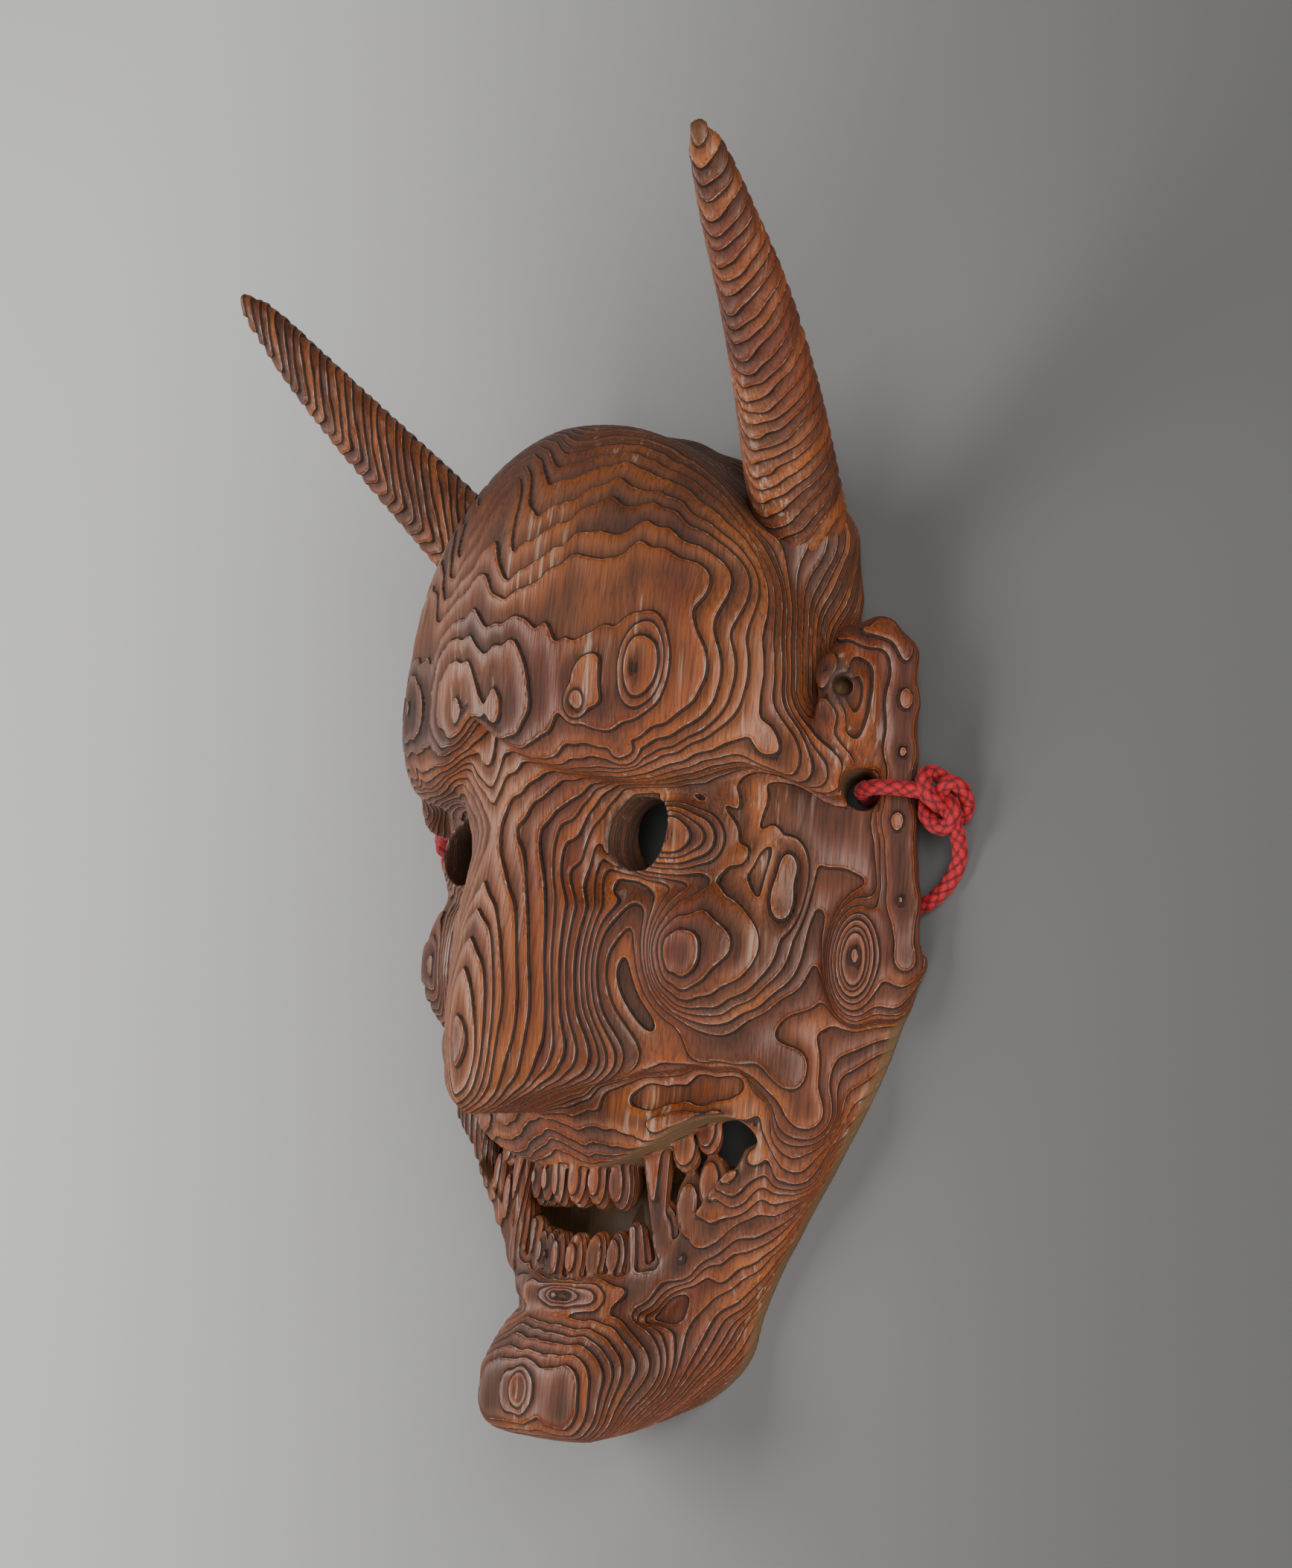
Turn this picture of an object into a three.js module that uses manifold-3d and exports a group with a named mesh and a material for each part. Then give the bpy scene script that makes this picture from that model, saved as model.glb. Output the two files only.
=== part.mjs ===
// A hannya mask carved from one block of cedar, with two horns let into the head and a braided hanging cord.
// Millimetres. X runs across the face, Y up the face from chin to horns, and Z out of the face.
// The mask lies on its back rim, which is the plane z = 0.
import * as THREE from "three";
import { edgeTable, triTable } from "three/addons/objects/MarchingCubes.js";
import { mergeVertices } from "three/addons/utils/BufferGeometryUtils.js";
import Module from "manifold-3d";

// Driving dimensions
const FACE_HEIGHT = 225; // chin to crown, the height that the carving's proportions are shares of
const WALL = 9; // thickness of the shell between the face and the hollow behind it
const JAW_FLOOR = 9; // wood left behind the open mouth
const EYE_HOLE_DIAMETER = 16;
const EAR_HOLE_DIAMETER = 7.7;
const HORN_FOOT_DIAMETER = 21;
const HORN_TIP_DIAMETER = 4;
const HORN_LENGTH = 99.6; // along the curve, from the head to the tip
const SEAT_DEPTH = 5; // how far a horn's foot is let into the head
const FIT = 0.3; // gap between a horn and its seat, and between the cord's pieces
const CORD_DIAMETER = 3.5;
const KNOT_DIAMETER = 15;
const RIM_LIFT = CORD_DIAMETER + 1.3; // the back rim is raised at the ears, where the cord passes under it

// Fineness of the carved surfaces
const CARVING_CELL = 2;
const MASK_FACES = 6500;
const HORN_SIDES = 14;
const HORN_RINGS = 14;
const CORD_SIDES = 8;
const SHORTEST_EDGE = 0.02;
const RIM_FLATNESS = 0.15;
const NEAREST = 0.03; // how near a surface point may come to a corner of its cell, in cells
const KNOT_FACES = 220;
const SLIVER = 0.03; // a triangle's least height, as a share of its longest side

const wasm = await Module();
wasm.setup();

// Shapes as distances: negative inside, positive outside

const long = (x, y, z = 0) => Math.sqrt(x * x + y * y + z * z);

// Two shapes joined, with a fillet about k wide
function join(a, b, k) {
  const h = Math.max(k - Math.abs(a - b), 0) / k;
  return Math.min(a, b) - (h * h * k) / 4;
}

// What two shapes have in common, with the edge rounded
function common(a, b, k) {
  const h = Math.max(k - Math.abs(a - b), 0) / k;
  return Math.max(a, b) + (h * h * k) / 4;
}

const carve = (shape, tool, k) => common(shape, -tool, k);

function ellipsoid(x, y, z, [cx, cy, cz], [rx, ry, rz]) {
  const px = (x - cx) / rx;
  const py = (y - cy) / ry;
  const pz = (z - cz) / rz;
  const near = long(px, py, pz);
  return (near * (near - 1)) / (long(px / rx, py / ry, pz / rz) + 1e-6);
}

// A round bar from a to b whose radius goes from ra to rb
function bar(x, y, z, a, b, ra, rb) {
  const bx = b[0] - a[0];
  const by = b[1] - a[1];
  const bz = b[2] - a[2];
  const along = ((x - a[0]) * bx + (y - a[1]) * by + (z - a[2]) * bz) / (bx * bx + by * by + bz * bz);
  const t = Math.min(Math.max(along, 0), 1);
  return long(x - a[0] - bx * t, y - a[1] - by * t, z - a[2] - bz * t) - ra - (rb - ra) * t;
}

// Bars through points given as [x, y, z, radius], for lids, lips, folds and rims
function ridge(x, y, z, points, k) {
  let d = Infinity;
  for (let i = 1; i < points.length; i++) {
    const a = points[i - 1];
    const b = points[i];
    const e = bar(x, y, z, a, b, a[3], b[3]);
    d = i === 1 ? e : join(d, e, k);
  }
  return d;
}

// A smooth curve of one value through stations [place, value] in rising order of place
function stations(points) {
  const slope = points.map((p, i) => {
    const before = points[Math.max(i - 1, 0)];
    const after = points[Math.min(i + 1, points.length - 1)];
    return (after[1] - before[1]) / (after[0] - before[0]);
  });
  return (place) => {
    let i = 0;
    while (i < points.length - 2 && place > points[i + 1][0]) i++;
    const [x0, v0] = points[i];
    const [x1, v1] = points[i + 1];
    const h = x1 - x0;
    const s = Math.min(Math.max((place - x0) / h, 0), 1);
    const cubic = v0 * (1 + s * s * (2 * s - 3)) + v1 * s * s * (3 - 2 * s);
    return cubic + h * s * (1 - s) * (slope[i] * (1 - s) - slope[i + 1] * s);
  };
}

// Distance from a cross section whose edge is |u|^n + |v|^n = 1
function shell(f, reach) {
  return (f - 1) * reach;
}

// The carving, in shares of a face 225 high: every number below is scaled by UNIT
const UNIT = FACE_HEIGHT / 225;

const faceWidth = stations([
  [-136, 12], [-128, 18], [-118, 26], [-108, 33], [-98, 36], [-85, 42.5], [-76, 48.5],
  [-68, 54], [-54, 63], [-45, 68], [-38, 71], [-30, 74], [-15, 76], [10, 76], [40, 66],
]);
const faceDepth = stations([
  [-136, 25], [-118, 27], [-105, 26], [-98, 24.5], [-85, 23.5], [-76, 26],
  [-66, 32], [-56, 38], [-45, 43], [-30, 46], [-14, 49.5], [0, 53], [10, 56], [40, 60],
]);
const faceSquareness = stations([
  [-136, 2.2], [-105, 2.4], [-85, 3], [-76, 3], [-66, 2.6], [-58, 2], [-50, 1.65], [-40, 1.5], [10, 1.5],
  [40, 1.8],
]);
const noseRidge = stations([
  [-62, 64.5], [-50, 66], [-38, 66.8], [-25, 65.3], [-13, 63], [0, 61], [7, 62], [14, 64], [25, 66],
]);
const noseFlank = stations([
  [-62, 0.84], [-44, 0.82], [-30, 0.76], [-15, 0.64], [4, 0.6], [14, 0.52], [25, 0.5],
]);
const browEdge = stations([
  [-5, 23], [0, 23], [10, 16.5], [20, 12], [34, 10], [46, 11.5], [54, 13.5], [60, 12.5], [68, 8], [90, 0],
]);
const upperLipEdge = stations([[0, -70.5], [14, -69], [27, -65], [36, -60], [43, -58], [47, -60], [52, -66]]);
const lowerLipEdge = stations([[0, -94], [14, -93], [22, -89.5], [30, -82], [38, -74], [46, -67], [52, -66]]);

// The head above the brows: a pointed arch in front, rounder behind, its crown further out than its middle
function cranium(x, y, z) {
  const up = Math.min(Math.max((y - 28) / 66, 0), 1);
  const middle = 33 + 9 * up;
  const front = z > middle;
  const depth = front ? 35 - 5.4 * up : 61 + 9 * up;
  const n = front ? 1.6 : 2.05;
  const height = y > 28 ? 66.5 : 32;
  const ring = ((x / 62) ** n + (Math.abs(z - middle) / depth) ** n) ** (1 / n);
  const f = (ring ** 2.05 + (Math.abs(y - 28) / height) ** 2.05) ** (1 / 2.05);
  const reach = f > 0.05 ? long(x, y - 28, z - middle) / f : 50;
  return shell(f, reach) * 0.85;
}

// The face from the chin up to its top, which is under the brows
const FACE_TOP = 36;
function face(x, y, z, top) {
  const n = faceSquareness(y);
  const f = ((x / faceWidth(y)) ** n + (Math.abs(z) / faceDepth(y)) ** n) ** (1 / n);
  const reach = f > 0.05 ? long(x, z) / f : faceDepth(y);
  return common(shell(f, reach) * 0.85, y - top, 20);
}

function brows(x, y, z) {
  const bulge = ellipsoid(x, y, z, [26, 30, 43], [20, 21, 17.5]);
  const tail = bar(x, y, z, [42, 22, 33], [62, 15.5, 21], 14, 10.5);
  return join(bulge, tail, 8);
}

// Two rolls of hair that part at the crown and end at the horns
const HAIR = [[7, 87, 32, 6.5], [18, 84, 26.5, 7], [28, 79.5, 22, 7], [36, 74, 17, 6.5]];

// The swelling of the head that a horn stands in
const HORN_SEAT = HORN_FOOT_DIAMETER / 2 / UNIT;
const HORN_COLLAR = [[47, 57, 12, HORN_SEAT], [49.5, 65.5, 17.5, HORN_SEAT + 1.2]];

function nose(x, y, z) {
  const flank = noseFlank(y);
  const side = (z - noseRidge(y) + flank * x) / long(1, flank);
  const rounded = common(side, z - noseRidge(y) + 3, 7);
  const base = (0.33 * x - 61.5 - y + 0.12 * (58 - z)) * 0.93;
  const wedge = common(common(rounded, base, 5), Math.max(y - 32, x - 34), 6);
  return join(wedge, ellipsoid(x, y, z, [18.5, -45, 36], [11.5, 9.5, 13.5]), 4);
}

// The eye's place slopes back towards the temple
const eyeSlope = (x, z) => z + 0.45 * (x - 36);

function socket(x, y, z) {
  const outer = ellipsoid(x, y, eyeSlope(x, z), [37, -1, 47], [20.5, 13.5, 11]);
  const inner = ellipsoid(x, y, eyeSlope(x, z), [25, -6, 47], [9.5, 10, 10]);
  return join(outer, inner, 3);
}

const eyeball = (x, y, z) => ellipsoid(x, y, eyeSlope(x, z), [36, -1, 26], [19.5, 13.5, 18]);

const LOWER_LID = [
  [17, 4, 48, 2.6], [17.5, -6, 46, 2.6], [20, -14.5, 43.4, 2.6], [28, -15, 39, 2.6],
  [36, -12.5, 35.2, 2.6], [44, -9.5, 32, 2.4], [51, -4.5, 29.6, 2], [56, 1, 26.4, 1.4],
];

// The cheek's fold, which hangs over the mouth and runs down the jaw
const CHEEK_FOLD = [
  [22, -42, 37, 4.5], [30, -44, 31, 5.5], [38, -44.5, 25, 6], [47, -43.5, 19.5, 6],
  [54, -47, 15, 6], [56.5, -56, 11.5, 5.5], [51.5, -67, 8.5, 4.6], [42, -80, 6, 3.6], [34, -94, 6, 2.6],
];

// The hollow line between that fold and the lips, round the mouth
const MOUTH_GROOVE = [
  [20, -56, 38, 3.5], [30, -54.5, 33, 3.8], [40, -52.5, 28, 4], [46, -52.5, 24, 4], [49, -57, 21, 3.6],
  [49, -67, 19, 3.2], [47.5, -76, 17.5, 3], [42, -85, 17.5, 2.8], [34, -92.5, 18.5, 2.8], [26, -98.5, 20, 2.8],
  [16, -104.5, 23, 3], [0, -107, 27, 3],
];

function chin(x, y, z) {
  const f = ((x / 21) ** 4 + ((y + 120) / 10.5) ** 4 + ((z - 22) / 15) ** 4) ** 0.25;
  return join(shell(f, 10), ellipsoid(x, y, z, [0, -111, 20], [27, 13, 14]), 5);
}

const UPPER_LIP = [
  [0, -65, 22.5, 7.5], [14, -64, 20.5, 7.2], [27, -60.5, 18, 6.5], [35, -57, 16.5, 6], [42, -55.5, 15, 5.5],
  [46, -60, 13, 4.5],
];
const LOWER_LIP = [
  [0, -98, 25.5, 4.6], [10, -97.5, 24, 4.6], [20, -95, 19.5, 4], [28, -88.5, 17, 3.8], [35, -81, 15.5, 3.6],
  [42, -73, 15, 3.4], [46, -66, 15, 3.2],
];

function mouth(x, y, z) {
  const band = Math.max(y - upperLipEdge(x), lowerLipEdge(x) - y);
  return common(common(band, x - 47.5, 3), JAW_FLOOR / UNIT - z, 3);
}

// Half of the teeth: front teeth above and below, a fang above, a shorter one below, and side teeth
const SIDE_TEETH = [
  [30.3, -64.5, 20.5, 5.5], [35.8, -61, 19, 5],
  [24.8, -82.5, 19.5, 7], [30.6, -76.5, 18.5, 7.5], [36.2, -71.5, 17.5, 6.5],
];
function teeth(x, y, z) {
  let d = bar(x, y, z, [23, -66, 22.5], [24.5, -81.5, 22], 3.6, 1.8);
  d = Math.min(d, bar(x, y, z, [17.5, -90, 19.5], [17.2, -82.5, 21.5], 3.9, 2.2));
  for (let i = 0; i < 3; i++) {
    d = Math.min(d, ellipsoid(x, y, z, [2.9 + 5.4 * i, -72.5, 26 - 1.4 * i], [2.75, 6.2, 4.5]));
    d = Math.min(d, ellipsoid(x, y, z, [2.6 + 4.9 * i, -89.5 + 0.5 * i, 25 - 1.8 * i], [2.5, 6, 4.2]));
  }
  for (const [px, py, pz, tall] of SIDE_TEETH) {
    d = Math.min(d, ellipsoid(x, y, z, [px, py, pz], [3.3, tall, 3.6]));
  }
  return d;
}

// The ear: a rim that curls round a bowl, and a long lobe
const EAR_RIM = [
  [69.5, 17, 23, 2.5], [70, 25, 25, 3.4], [69.5, 34, 24.5, 4], [70, 41, 20, 4.2], [71.5, 43.5, 14.5, 4.2],
  [74, 40, 11.5, 4], [74.8, 30, 11, 4], [75, 19, 10.5, 4], [75, 5, 9.5, 4], [75.3, -12, 7, 4.4],
  [75.3, -24, 5.5, 4.8], [72.5, -31.5, 5.5, 4.6],
];
function ear(x, y, z) {
  const rim = ridge(x, y, z, EAR_RIM, 2);
  const bowl = ellipsoid(x, y, z, [69, 28, 14.5], [7, 15, 9.5]);
  const lobe = ellipsoid(x, y, z, [68.5, -24, 11], [6.5, 14, 8]);
  return join(join(rim, bowl, 3), lobe, 3);
}

// The mask's outside, without its holes
function outside(x, y, z) {
  let head = join(cranium(x, y, z), brows(x, y, z), 4);
  head = join(head, ridge(x, y, z, HAIR, 4), 4);
  head = join(head, ridge(x, y, z, HORN_COLLAR, 4), 8);
  head = common(head, (browEdge(x) - y) * 0.9, 3);
  let front = join(face(x, y, z, FACE_TOP), ellipsoid(x, y, z, [38.5, -24.5, 23], [20, 18, 18.5]), 9);
  front = join(front, ridge(x, y, z, CHEEK_FOLD, 3), 5);
  front = join(front, nose(x, y, z), 3);
  front = carve(front, socket(x, y, z), 2.5);
  front = join(front, eyeball(x, y, z), 1.5);
  front = join(front, ridge(x, y, z, LOWER_LID, 2), 2);
  front = carve(front, ridge(x, y, z, MOUTH_GROOVE, 2), 3);
  front = join(front, chin(x, y, z), 6);
  let d = join(head, front, 3);
  d = join(d, ridge(x, y, z, UPPER_LIP, 5), 3);
  d = carve(d, mouth(x, y, z), 2);
  d = join(d, ridge(x, y, z, LOWER_LIP, 3), 2);
  d = join(d, teeth(x, y, z), 1);
  d = join(d, ear(x, y, z), 3);
  const underside = -131 + Math.max(27 - z, 0) * 0.42 + Math.max(x - 14, 0) * 0.3;
  return common(d, (underside - y) * 0.9, 9);
}

// The hollow behind the face follows the face at the wall's thickness and ends above the jaw
function hollow(x, y, z) {
  const head = common(cranium(x, y, z), (browEdge(x) - y) * 0.9, 6);
  const inner = join(head, face(x, y, z, FACE_TOP + WALL / UNIT), 6) + WALL / UNIT;
  const aboveJaw = common(inner, -67 - y, 6);
  const seat = ridge(x, y, z, HORN_COLLAR, 4) - WALL / UNIT / 2;
  return common(aboveJaw, -seat, 5);
}

// Bores in the eyes, and at the ears for the cord, which slant from the ear into the hollow
const EYE_PLACE = [31.3, 0];
const EAR_HOLE_FRONT = [76, 11, 22.3];
const EAR_HOLE_BACK = [59, 11, 2.9];
function bores(x, y, z) {
  const eye = long(x - EYE_PLACE[0], y - EYE_PLACE[1]) - EYE_HOLE_DIAMETER / UNIT / 2;
  const radius = EAR_HOLE_DIAMETER / UNIT / 2;
  return Math.min(eye, bar(x, y, z, EAR_HOLE_FRONT, EAR_HOLE_BACK, radius, radius));
}

// The space under the rim at the ears
function rimLift(x, y, z) {
  const flange = Math.max(70 - x, z - RIM_LIFT / UNIT + Math.max(5 - y, 0) * 0.03, Math.abs(y - 12) - 34);
  const rim = Math.max(52 - x, z - RIM_LIFT / UNIT, Math.abs(y - 6) - 26);
  return Math.min(flange, rim);
}

// One side of the mask stands for both, as it is the same left and right
function maskShape(px, py, pz) {
  const x = Math.abs(px) / UNIT;
  const y = py / UNIT;
  const z = pz / UNIT;
  let d = carve(outside(x, y, z), hollow(x, y, z), 2);
  d = carve(d, bores(x, y, z), 0.8);
  d = carve(d, rimLift(x, y, z), 1);
  return Math.max(d, -z) * UNIT;
}

// The surface where a shape's distance is zero, found cell by cell.
// Each of a cell's 12 edges is named by the corner it starts from and the axis it runs along.
const CORNERS = [[0, 0, 0], [1, 0, 0], [1, 1, 0], [0, 1, 0], [0, 0, 1], [1, 0, 1], [1, 1, 1], [0, 1, 1]];
const EDGES = [[0, 0], [1, 1], [3, 0], [0, 1], [4, 0], [5, 1], [7, 0], [4, 1], [0, 2], [1, 2], [2, 2], [3, 2]];

function surface(shape, low, high, cell) {
  const count = low.map((v, i) => Math.ceil((high[i] - v) / cell) + 1);
  const stride = [1, count[0], count[0] * count[1]];
  const values = new Float32Array(count[0] * count[1] * count[2]);
  const place = (index) => {
    const k = Math.floor(index / stride[2]);
    const j = Math.floor((index % stride[2]) / stride[1]);
    return [index % stride[1], j, k].map((n, axis) => low[axis] + n * cell);
  };
  // Blocks that lie well away from the surface take the distance at their middle
  const block = 6;
  for (let k0 = 0; k0 < count[2]; k0 += block) {
    for (let j0 = 0; j0 < count[1]; j0 += block) {
      for (let i0 = 0; i0 < count[0]; i0 += block) {
        const middle = [i0, j0, k0].map((n, axis) => low[axis] + (n + block / 2) * cell);
        const far = shape(...middle);
        const skip = Math.abs(far) > block * cell * 1.5;
        for (let k = k0; k < Math.min(k0 + block, count[2]); k++) {
          for (let j = j0; j < Math.min(j0 + block, count[1]); j++) {
            for (let i = i0; i < Math.min(i0 + block, count[0]); i++) {
              const d = skip ? far : shape(low[0] + i * cell, low[1] + j * cell, low[2] + k * cell);
              values[i + j * stride[1] + k * stride[2]] = d;
            }
          }
        }
      }
    }
  }
  const step = CORNERS.map((corner) => corner.reduce((sum, n, axis) => sum + n * stride[axis], 0));
  const points = [];
  const faces = [];
  const made = new Map();
  const crossing = (base, edge) => {
    const [corner, axis] = EDGES[edge];
    const start = base + step[corner];
    const key = start * 3 + axis;
    if (!made.has(key)) {
      const point = place(start);
      const t = values[start] / (values[start] - values[start + stride[axis]]);
      point[axis] += cell * Math.min(Math.max(t, NEAREST), 1 - NEAREST);
      made.set(key, points.length);
      points.push(point);
    }
    return made.get(key);
  };
  for (let k = 0; k < count[2] - 1; k++) {
    for (let j = 0; j < count[1] - 1; j++) {
      for (let i = 0; i < count[0] - 1; i++) {
        const base = i + j * stride[1] + k * stride[2];
        let kind = 0;
        for (let c = 0; c < 8; c++) if (values[base + step[c]] < 0) kind |= 1 << c;
        if (!edgeTable[kind]) continue;
        for (let n = kind * 16; triTable[n] !== -1; n += 3) {
          faces.push([n, n + 2, n + 1].map((entry) => crossing(base, triTable[entry])));
        }
      }
    }
  }
  return { points, faces };
}

// Fewer faces for the same surface: the edge whose loss changes the surface least goes first.
// A point's error is the sum of squared distances to the planes of the faces it has taken in,
// held as the ten numbers of a symmetric 4 x 4 matrix.
function fewerFaces({ points, faces }, wanted) {
  const error = points.map(() => new Float64Array(10));
  const around = points.map(() => new Set());
  const normal = ([a, b, c]) => {
    const [p, q, r] = [points[a], points[b], points[c]];
    const u = [q[0] - p[0], q[1] - p[1], q[2] - p[2]];
    const v = [r[0] - p[0], r[1] - p[1], r[2] - p[2]];
    return [u[1] * v[2] - u[2] * v[1], u[2] * v[0] - u[0] * v[2], u[0] * v[1] - u[1] * v[0]];
  };
  faces.forEach((face, f) => {
    const n = normal(face);
    const length = long(...n) || 1;
    const [a, b, c] = n.map((v) => v / length);
    const p = points[face[0]];
    const d = -(a * p[0] + b * p[1] + c * p[2]);
    const plane = [a * a, a * b, a * c, a * d, b * b, b * c, b * d, c * c, c * d, d * d];
    for (const corner of face) {
      around[corner].add(f);
      plane.forEach((v, i) => (error[corner][i] += v * length));
    }
  });
  const errorAt = (q, [x, y, z]) =>
    q[0] * x * x + 2 * q[1] * x * y + 2 * q[2] * x * z + 2 * q[3] * x + q[4] * y * y +
    2 * q[5] * y * z + 2 * q[6] * y + q[7] * z * z + 2 * q[8] * z + q[9];
  const best = (q, a, b) => {
    const [xx, xy, xz, xd, yy, yz, yd, zz, zd] = q;
    const det = xx * (yy * zz - yz * yz) - xy * (xy * zz - yz * xz) + xz * (xy * yz - yy * xz);
    const middle = a.map((v, i) => (v + b[i]) / 2);
    const choices = [middle, a, b];
    if (Math.abs(det) > 1e-3 * Math.max(1, xx * yy * zz)) {
      const x = -(xd * (yy * zz - yz * yz) - xy * (yd * zz - yz * zd) + xz * (yd * yz - yy * zd)) / det;
      const y = -(xx * (yd * zz - yz * zd) - xd * (xy * zz - yz * xz) + xz * (xy * zd - yd * xz)) / det;
      const z = -(xx * (yy * zd - yd * yz) - xy * (xy * zd - yd * xz) + xd * (xy * yz - yy * xz)) / det;
      const reach = long(a[0] - b[0], a[1] - b[1], a[2] - b[2]);
      if (long(x - middle[0], y - middle[1], z - middle[2]) < 1.5 * reach) choices.unshift([x, y, z]);
    }
    let chosen = null;
    for (const at of choices) {
      const cost = errorAt(q, at);
      if (!chosen || cost < chosen.cost - 1e-9) chosen = { at, cost };
    }
    return chosen;
  };

  // The edges wait in a heap, cheapest first; age tells whether an edge's ends have changed since
  const age = new Int32Array(points.length);
  const heap = [];
  const swap = (i, j) => ([heap[i], heap[j]] = [heap[j], heap[i]]);
  const push = (edge) => {
    let i = heap.push(edge) - 1;
    while (i && heap[i].cost < heap[(i - 1) >> 1].cost) {
      swap(i, (i - 1) >> 1);
      i = (i - 1) >> 1;
    }
  };
  const pop = () => {
    const top = heap[0];
    const last = heap.pop();
    if (heap.length) {
      heap[0] = last;
      for (let i = 0, child = 1; child < heap.length; child = 2 * i + 1) {
        if (child + 1 < heap.length && heap[child + 1].cost < heap[child].cost) child++;
        if (heap[child].cost >= heap[i].cost) break;
        swap(i, child);
        i = child;
      }
    }
    return top;
  };
  const offer = (a, b) => {
    const q = error[a].map((v, i) => v + error[b][i]);
    const { at, cost } = best(q, points[a], points[b]);
    push({ a, b, at, cost, born: age[a] + age[b] });
  };
  const neighbours = (p) => {
    const near = new Set();
    for (const f of around[p]) for (const corner of faces[f]) if (corner !== p) near.add(corner);
    return near;
  };
  // A face's least height as a share of its longest side, if corner p were moved
  const plumpness = (face, n, p, at) => {
    const ends = face.map((corner) => (corner === p ? at : points[corner]));
    const sides = ends.map((e, i) => long(...e.map((v, axis) => v - ends[(i + 1) % 3][axis])));
    return long(...n) / Math.max(...sides) ** 2;
  };
  // A move may not turn a face over or make it a sliver
  const keepsFaces = (p, other, at) => {
    for (const f of around[p]) {
      const face = faces[f];
      if (face.includes(other)) continue;
      const before = normal(face);
      const old = points[p];
      points[p] = at;
      const after = normal(face);
      points[p] = old;
      const product = before[0] * after[0] + before[1] * after[1] + before[2] * after[2];
      if (product <= 0.2 * long(...before) * long(...after)) return false;
      if (plumpness(face, after, p, at) < Math.min(SLIVER, plumpness(face, before))) return false;
    }
    return true;
  };
  for (let p = 0; p < points.length; p++) for (const q of neighbours(p)) if (p < q) offer(p, q);
  let left = faces.length;
  while (left > wanted && heap.length) {
    const { a, b, at, born } = pop();
    if (born !== age[a] + age[b] || !around[a].size || !around[b].size) continue;
    const nearB = neighbours(b);
    if (!nearB.has(a)) continue;
    const shared = [...neighbours(a)].filter((p) => nearB.has(p));
    if (shared.length !== 2 || !keepsFaces(a, b, at) || !keepsFaces(b, a, at)) continue;
    for (const f of [...around[b]]) {
      if (faces[f].includes(a)) {
        for (const corner of faces[f]) around[corner].delete(f);
        faces[f] = null;
        left--;
      } else {
        faces[f] = faces[f].map((corner) => (corner === b ? a : corner));
        around[a].add(f);
      }
    }
    around[b].clear();
    points[a] = at;
    error[b].forEach((v, i) => (error[a][i] += v));
    age[a]++;
    age[b] = -1e9;
    for (const p of neighbours(a)) offer(Math.min(a, p), Math.max(a, p));
  }
  return { points, faces: faces.filter(Boolean) };
}

function geometryOf({ points, faces }) {
  const geometry = new THREE.BufferGeometry();
  geometry.setAttribute("position", new THREE.Float32BufferAttribute(points.flat(), 3));
  geometry.setIndex(faces.flat());
  return geometry;
}

// Solids for cutting
function solidOf(geometry) {
  const bare = new THREE.BufferGeometry();
  bare.setAttribute("position", geometry.getAttribute("position"));
  bare.setIndex(geometry.index);
  const merged = mergeVertices(bare, 1e-4);
  const mesh = new wasm.Mesh({
    numProp: 3,
    vertProperties: merged.attributes.position.array,
    triVerts: new Uint32Array(merged.index.array),
  });
  return new wasm.Manifold(mesh);
}

function geometryOfSolid(solid) {
  const { vertProperties, triVerts } = solid.getMesh();
  const geometry = new THREE.BufferGeometry();
  geometry.setAttribute("position", new THREE.BufferAttribute(vertProperties, 3));
  geometry.setIndex(new THREE.BufferAttribute(triVerts, 1));
  return geometry;
}

// Rings of points along a curve, closed by a flat cap at each end
function rings(curve, radiusAt, sides, count, grow = 0) {
  const frames = curve.computeFrenetFrames(count, false);
  const points = [];
  const faces = [];
  for (let i = 0; i <= count; i++) {
    const centre = curve.getPointAt(i / count);
    if (i === 0) centre.addScaledVector(frames.tangents[0], -grow);
    if (i === count) centre.addScaledVector(frames.tangents[count], grow);
    const radius = radiusAt(i / count) + grow;
    for (let k = 0; k < sides; k++) {
      const turn = (2 * Math.PI * k) / sides;
      const across = frames.normals[i].clone().multiplyScalar(radius * Math.cos(turn));
      across.addScaledVector(frames.binormals[i], radius * Math.sin(turn));
      points.push(centre.clone().add(across).toArray());
    }
  }
  const ringStart = (i) => i * sides;
  for (let i = 0; i < count; i++) {
    for (let k = 0; k < sides; k++) {
      const next = (k + 1) % sides;
      const [a, b] = [ringStart(i) + k, ringStart(i) + next];
      const [c, d] = [ringStart(i + 1) + k, ringStart(i + 1) + next];
      faces.push([a, b, d], [a, d, c]);
    }
  }
  for (const [i, flip] of [[0, true], [count, false]]) {
    const end = curve.getPointAt(i / count).addScaledVector(frames.tangents[i], flip ? -grow : grow);
    const centre = points.push(end.toArray()) - 1;
    for (let k = 0; k < sides; k++) {
      const [a, b] = [ringStart(i) + k, ringStart(i) + ((k + 1) % sides)];
      faces.push(flip ? [centre, b, a] : [centre, a, b]);
    }
  }
  return geometryOf({ points, faces });
}

// Horns: their course from the head goes outwards, upwards and forwards, and straightens towards the tip
const HORN_FOOT = [49, 66, 18];
const HORN_COURSE = [
  [0, 0, 0], [7, 11, 11], [14, 22.6, 22.2], [20, 32.9, 32.8], [24.7, 41.8, 42.3], [29, 51.8, 53.2],
  [32, 59.3, 60.9], [34.3, 64.6, 67.2],
];

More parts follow.
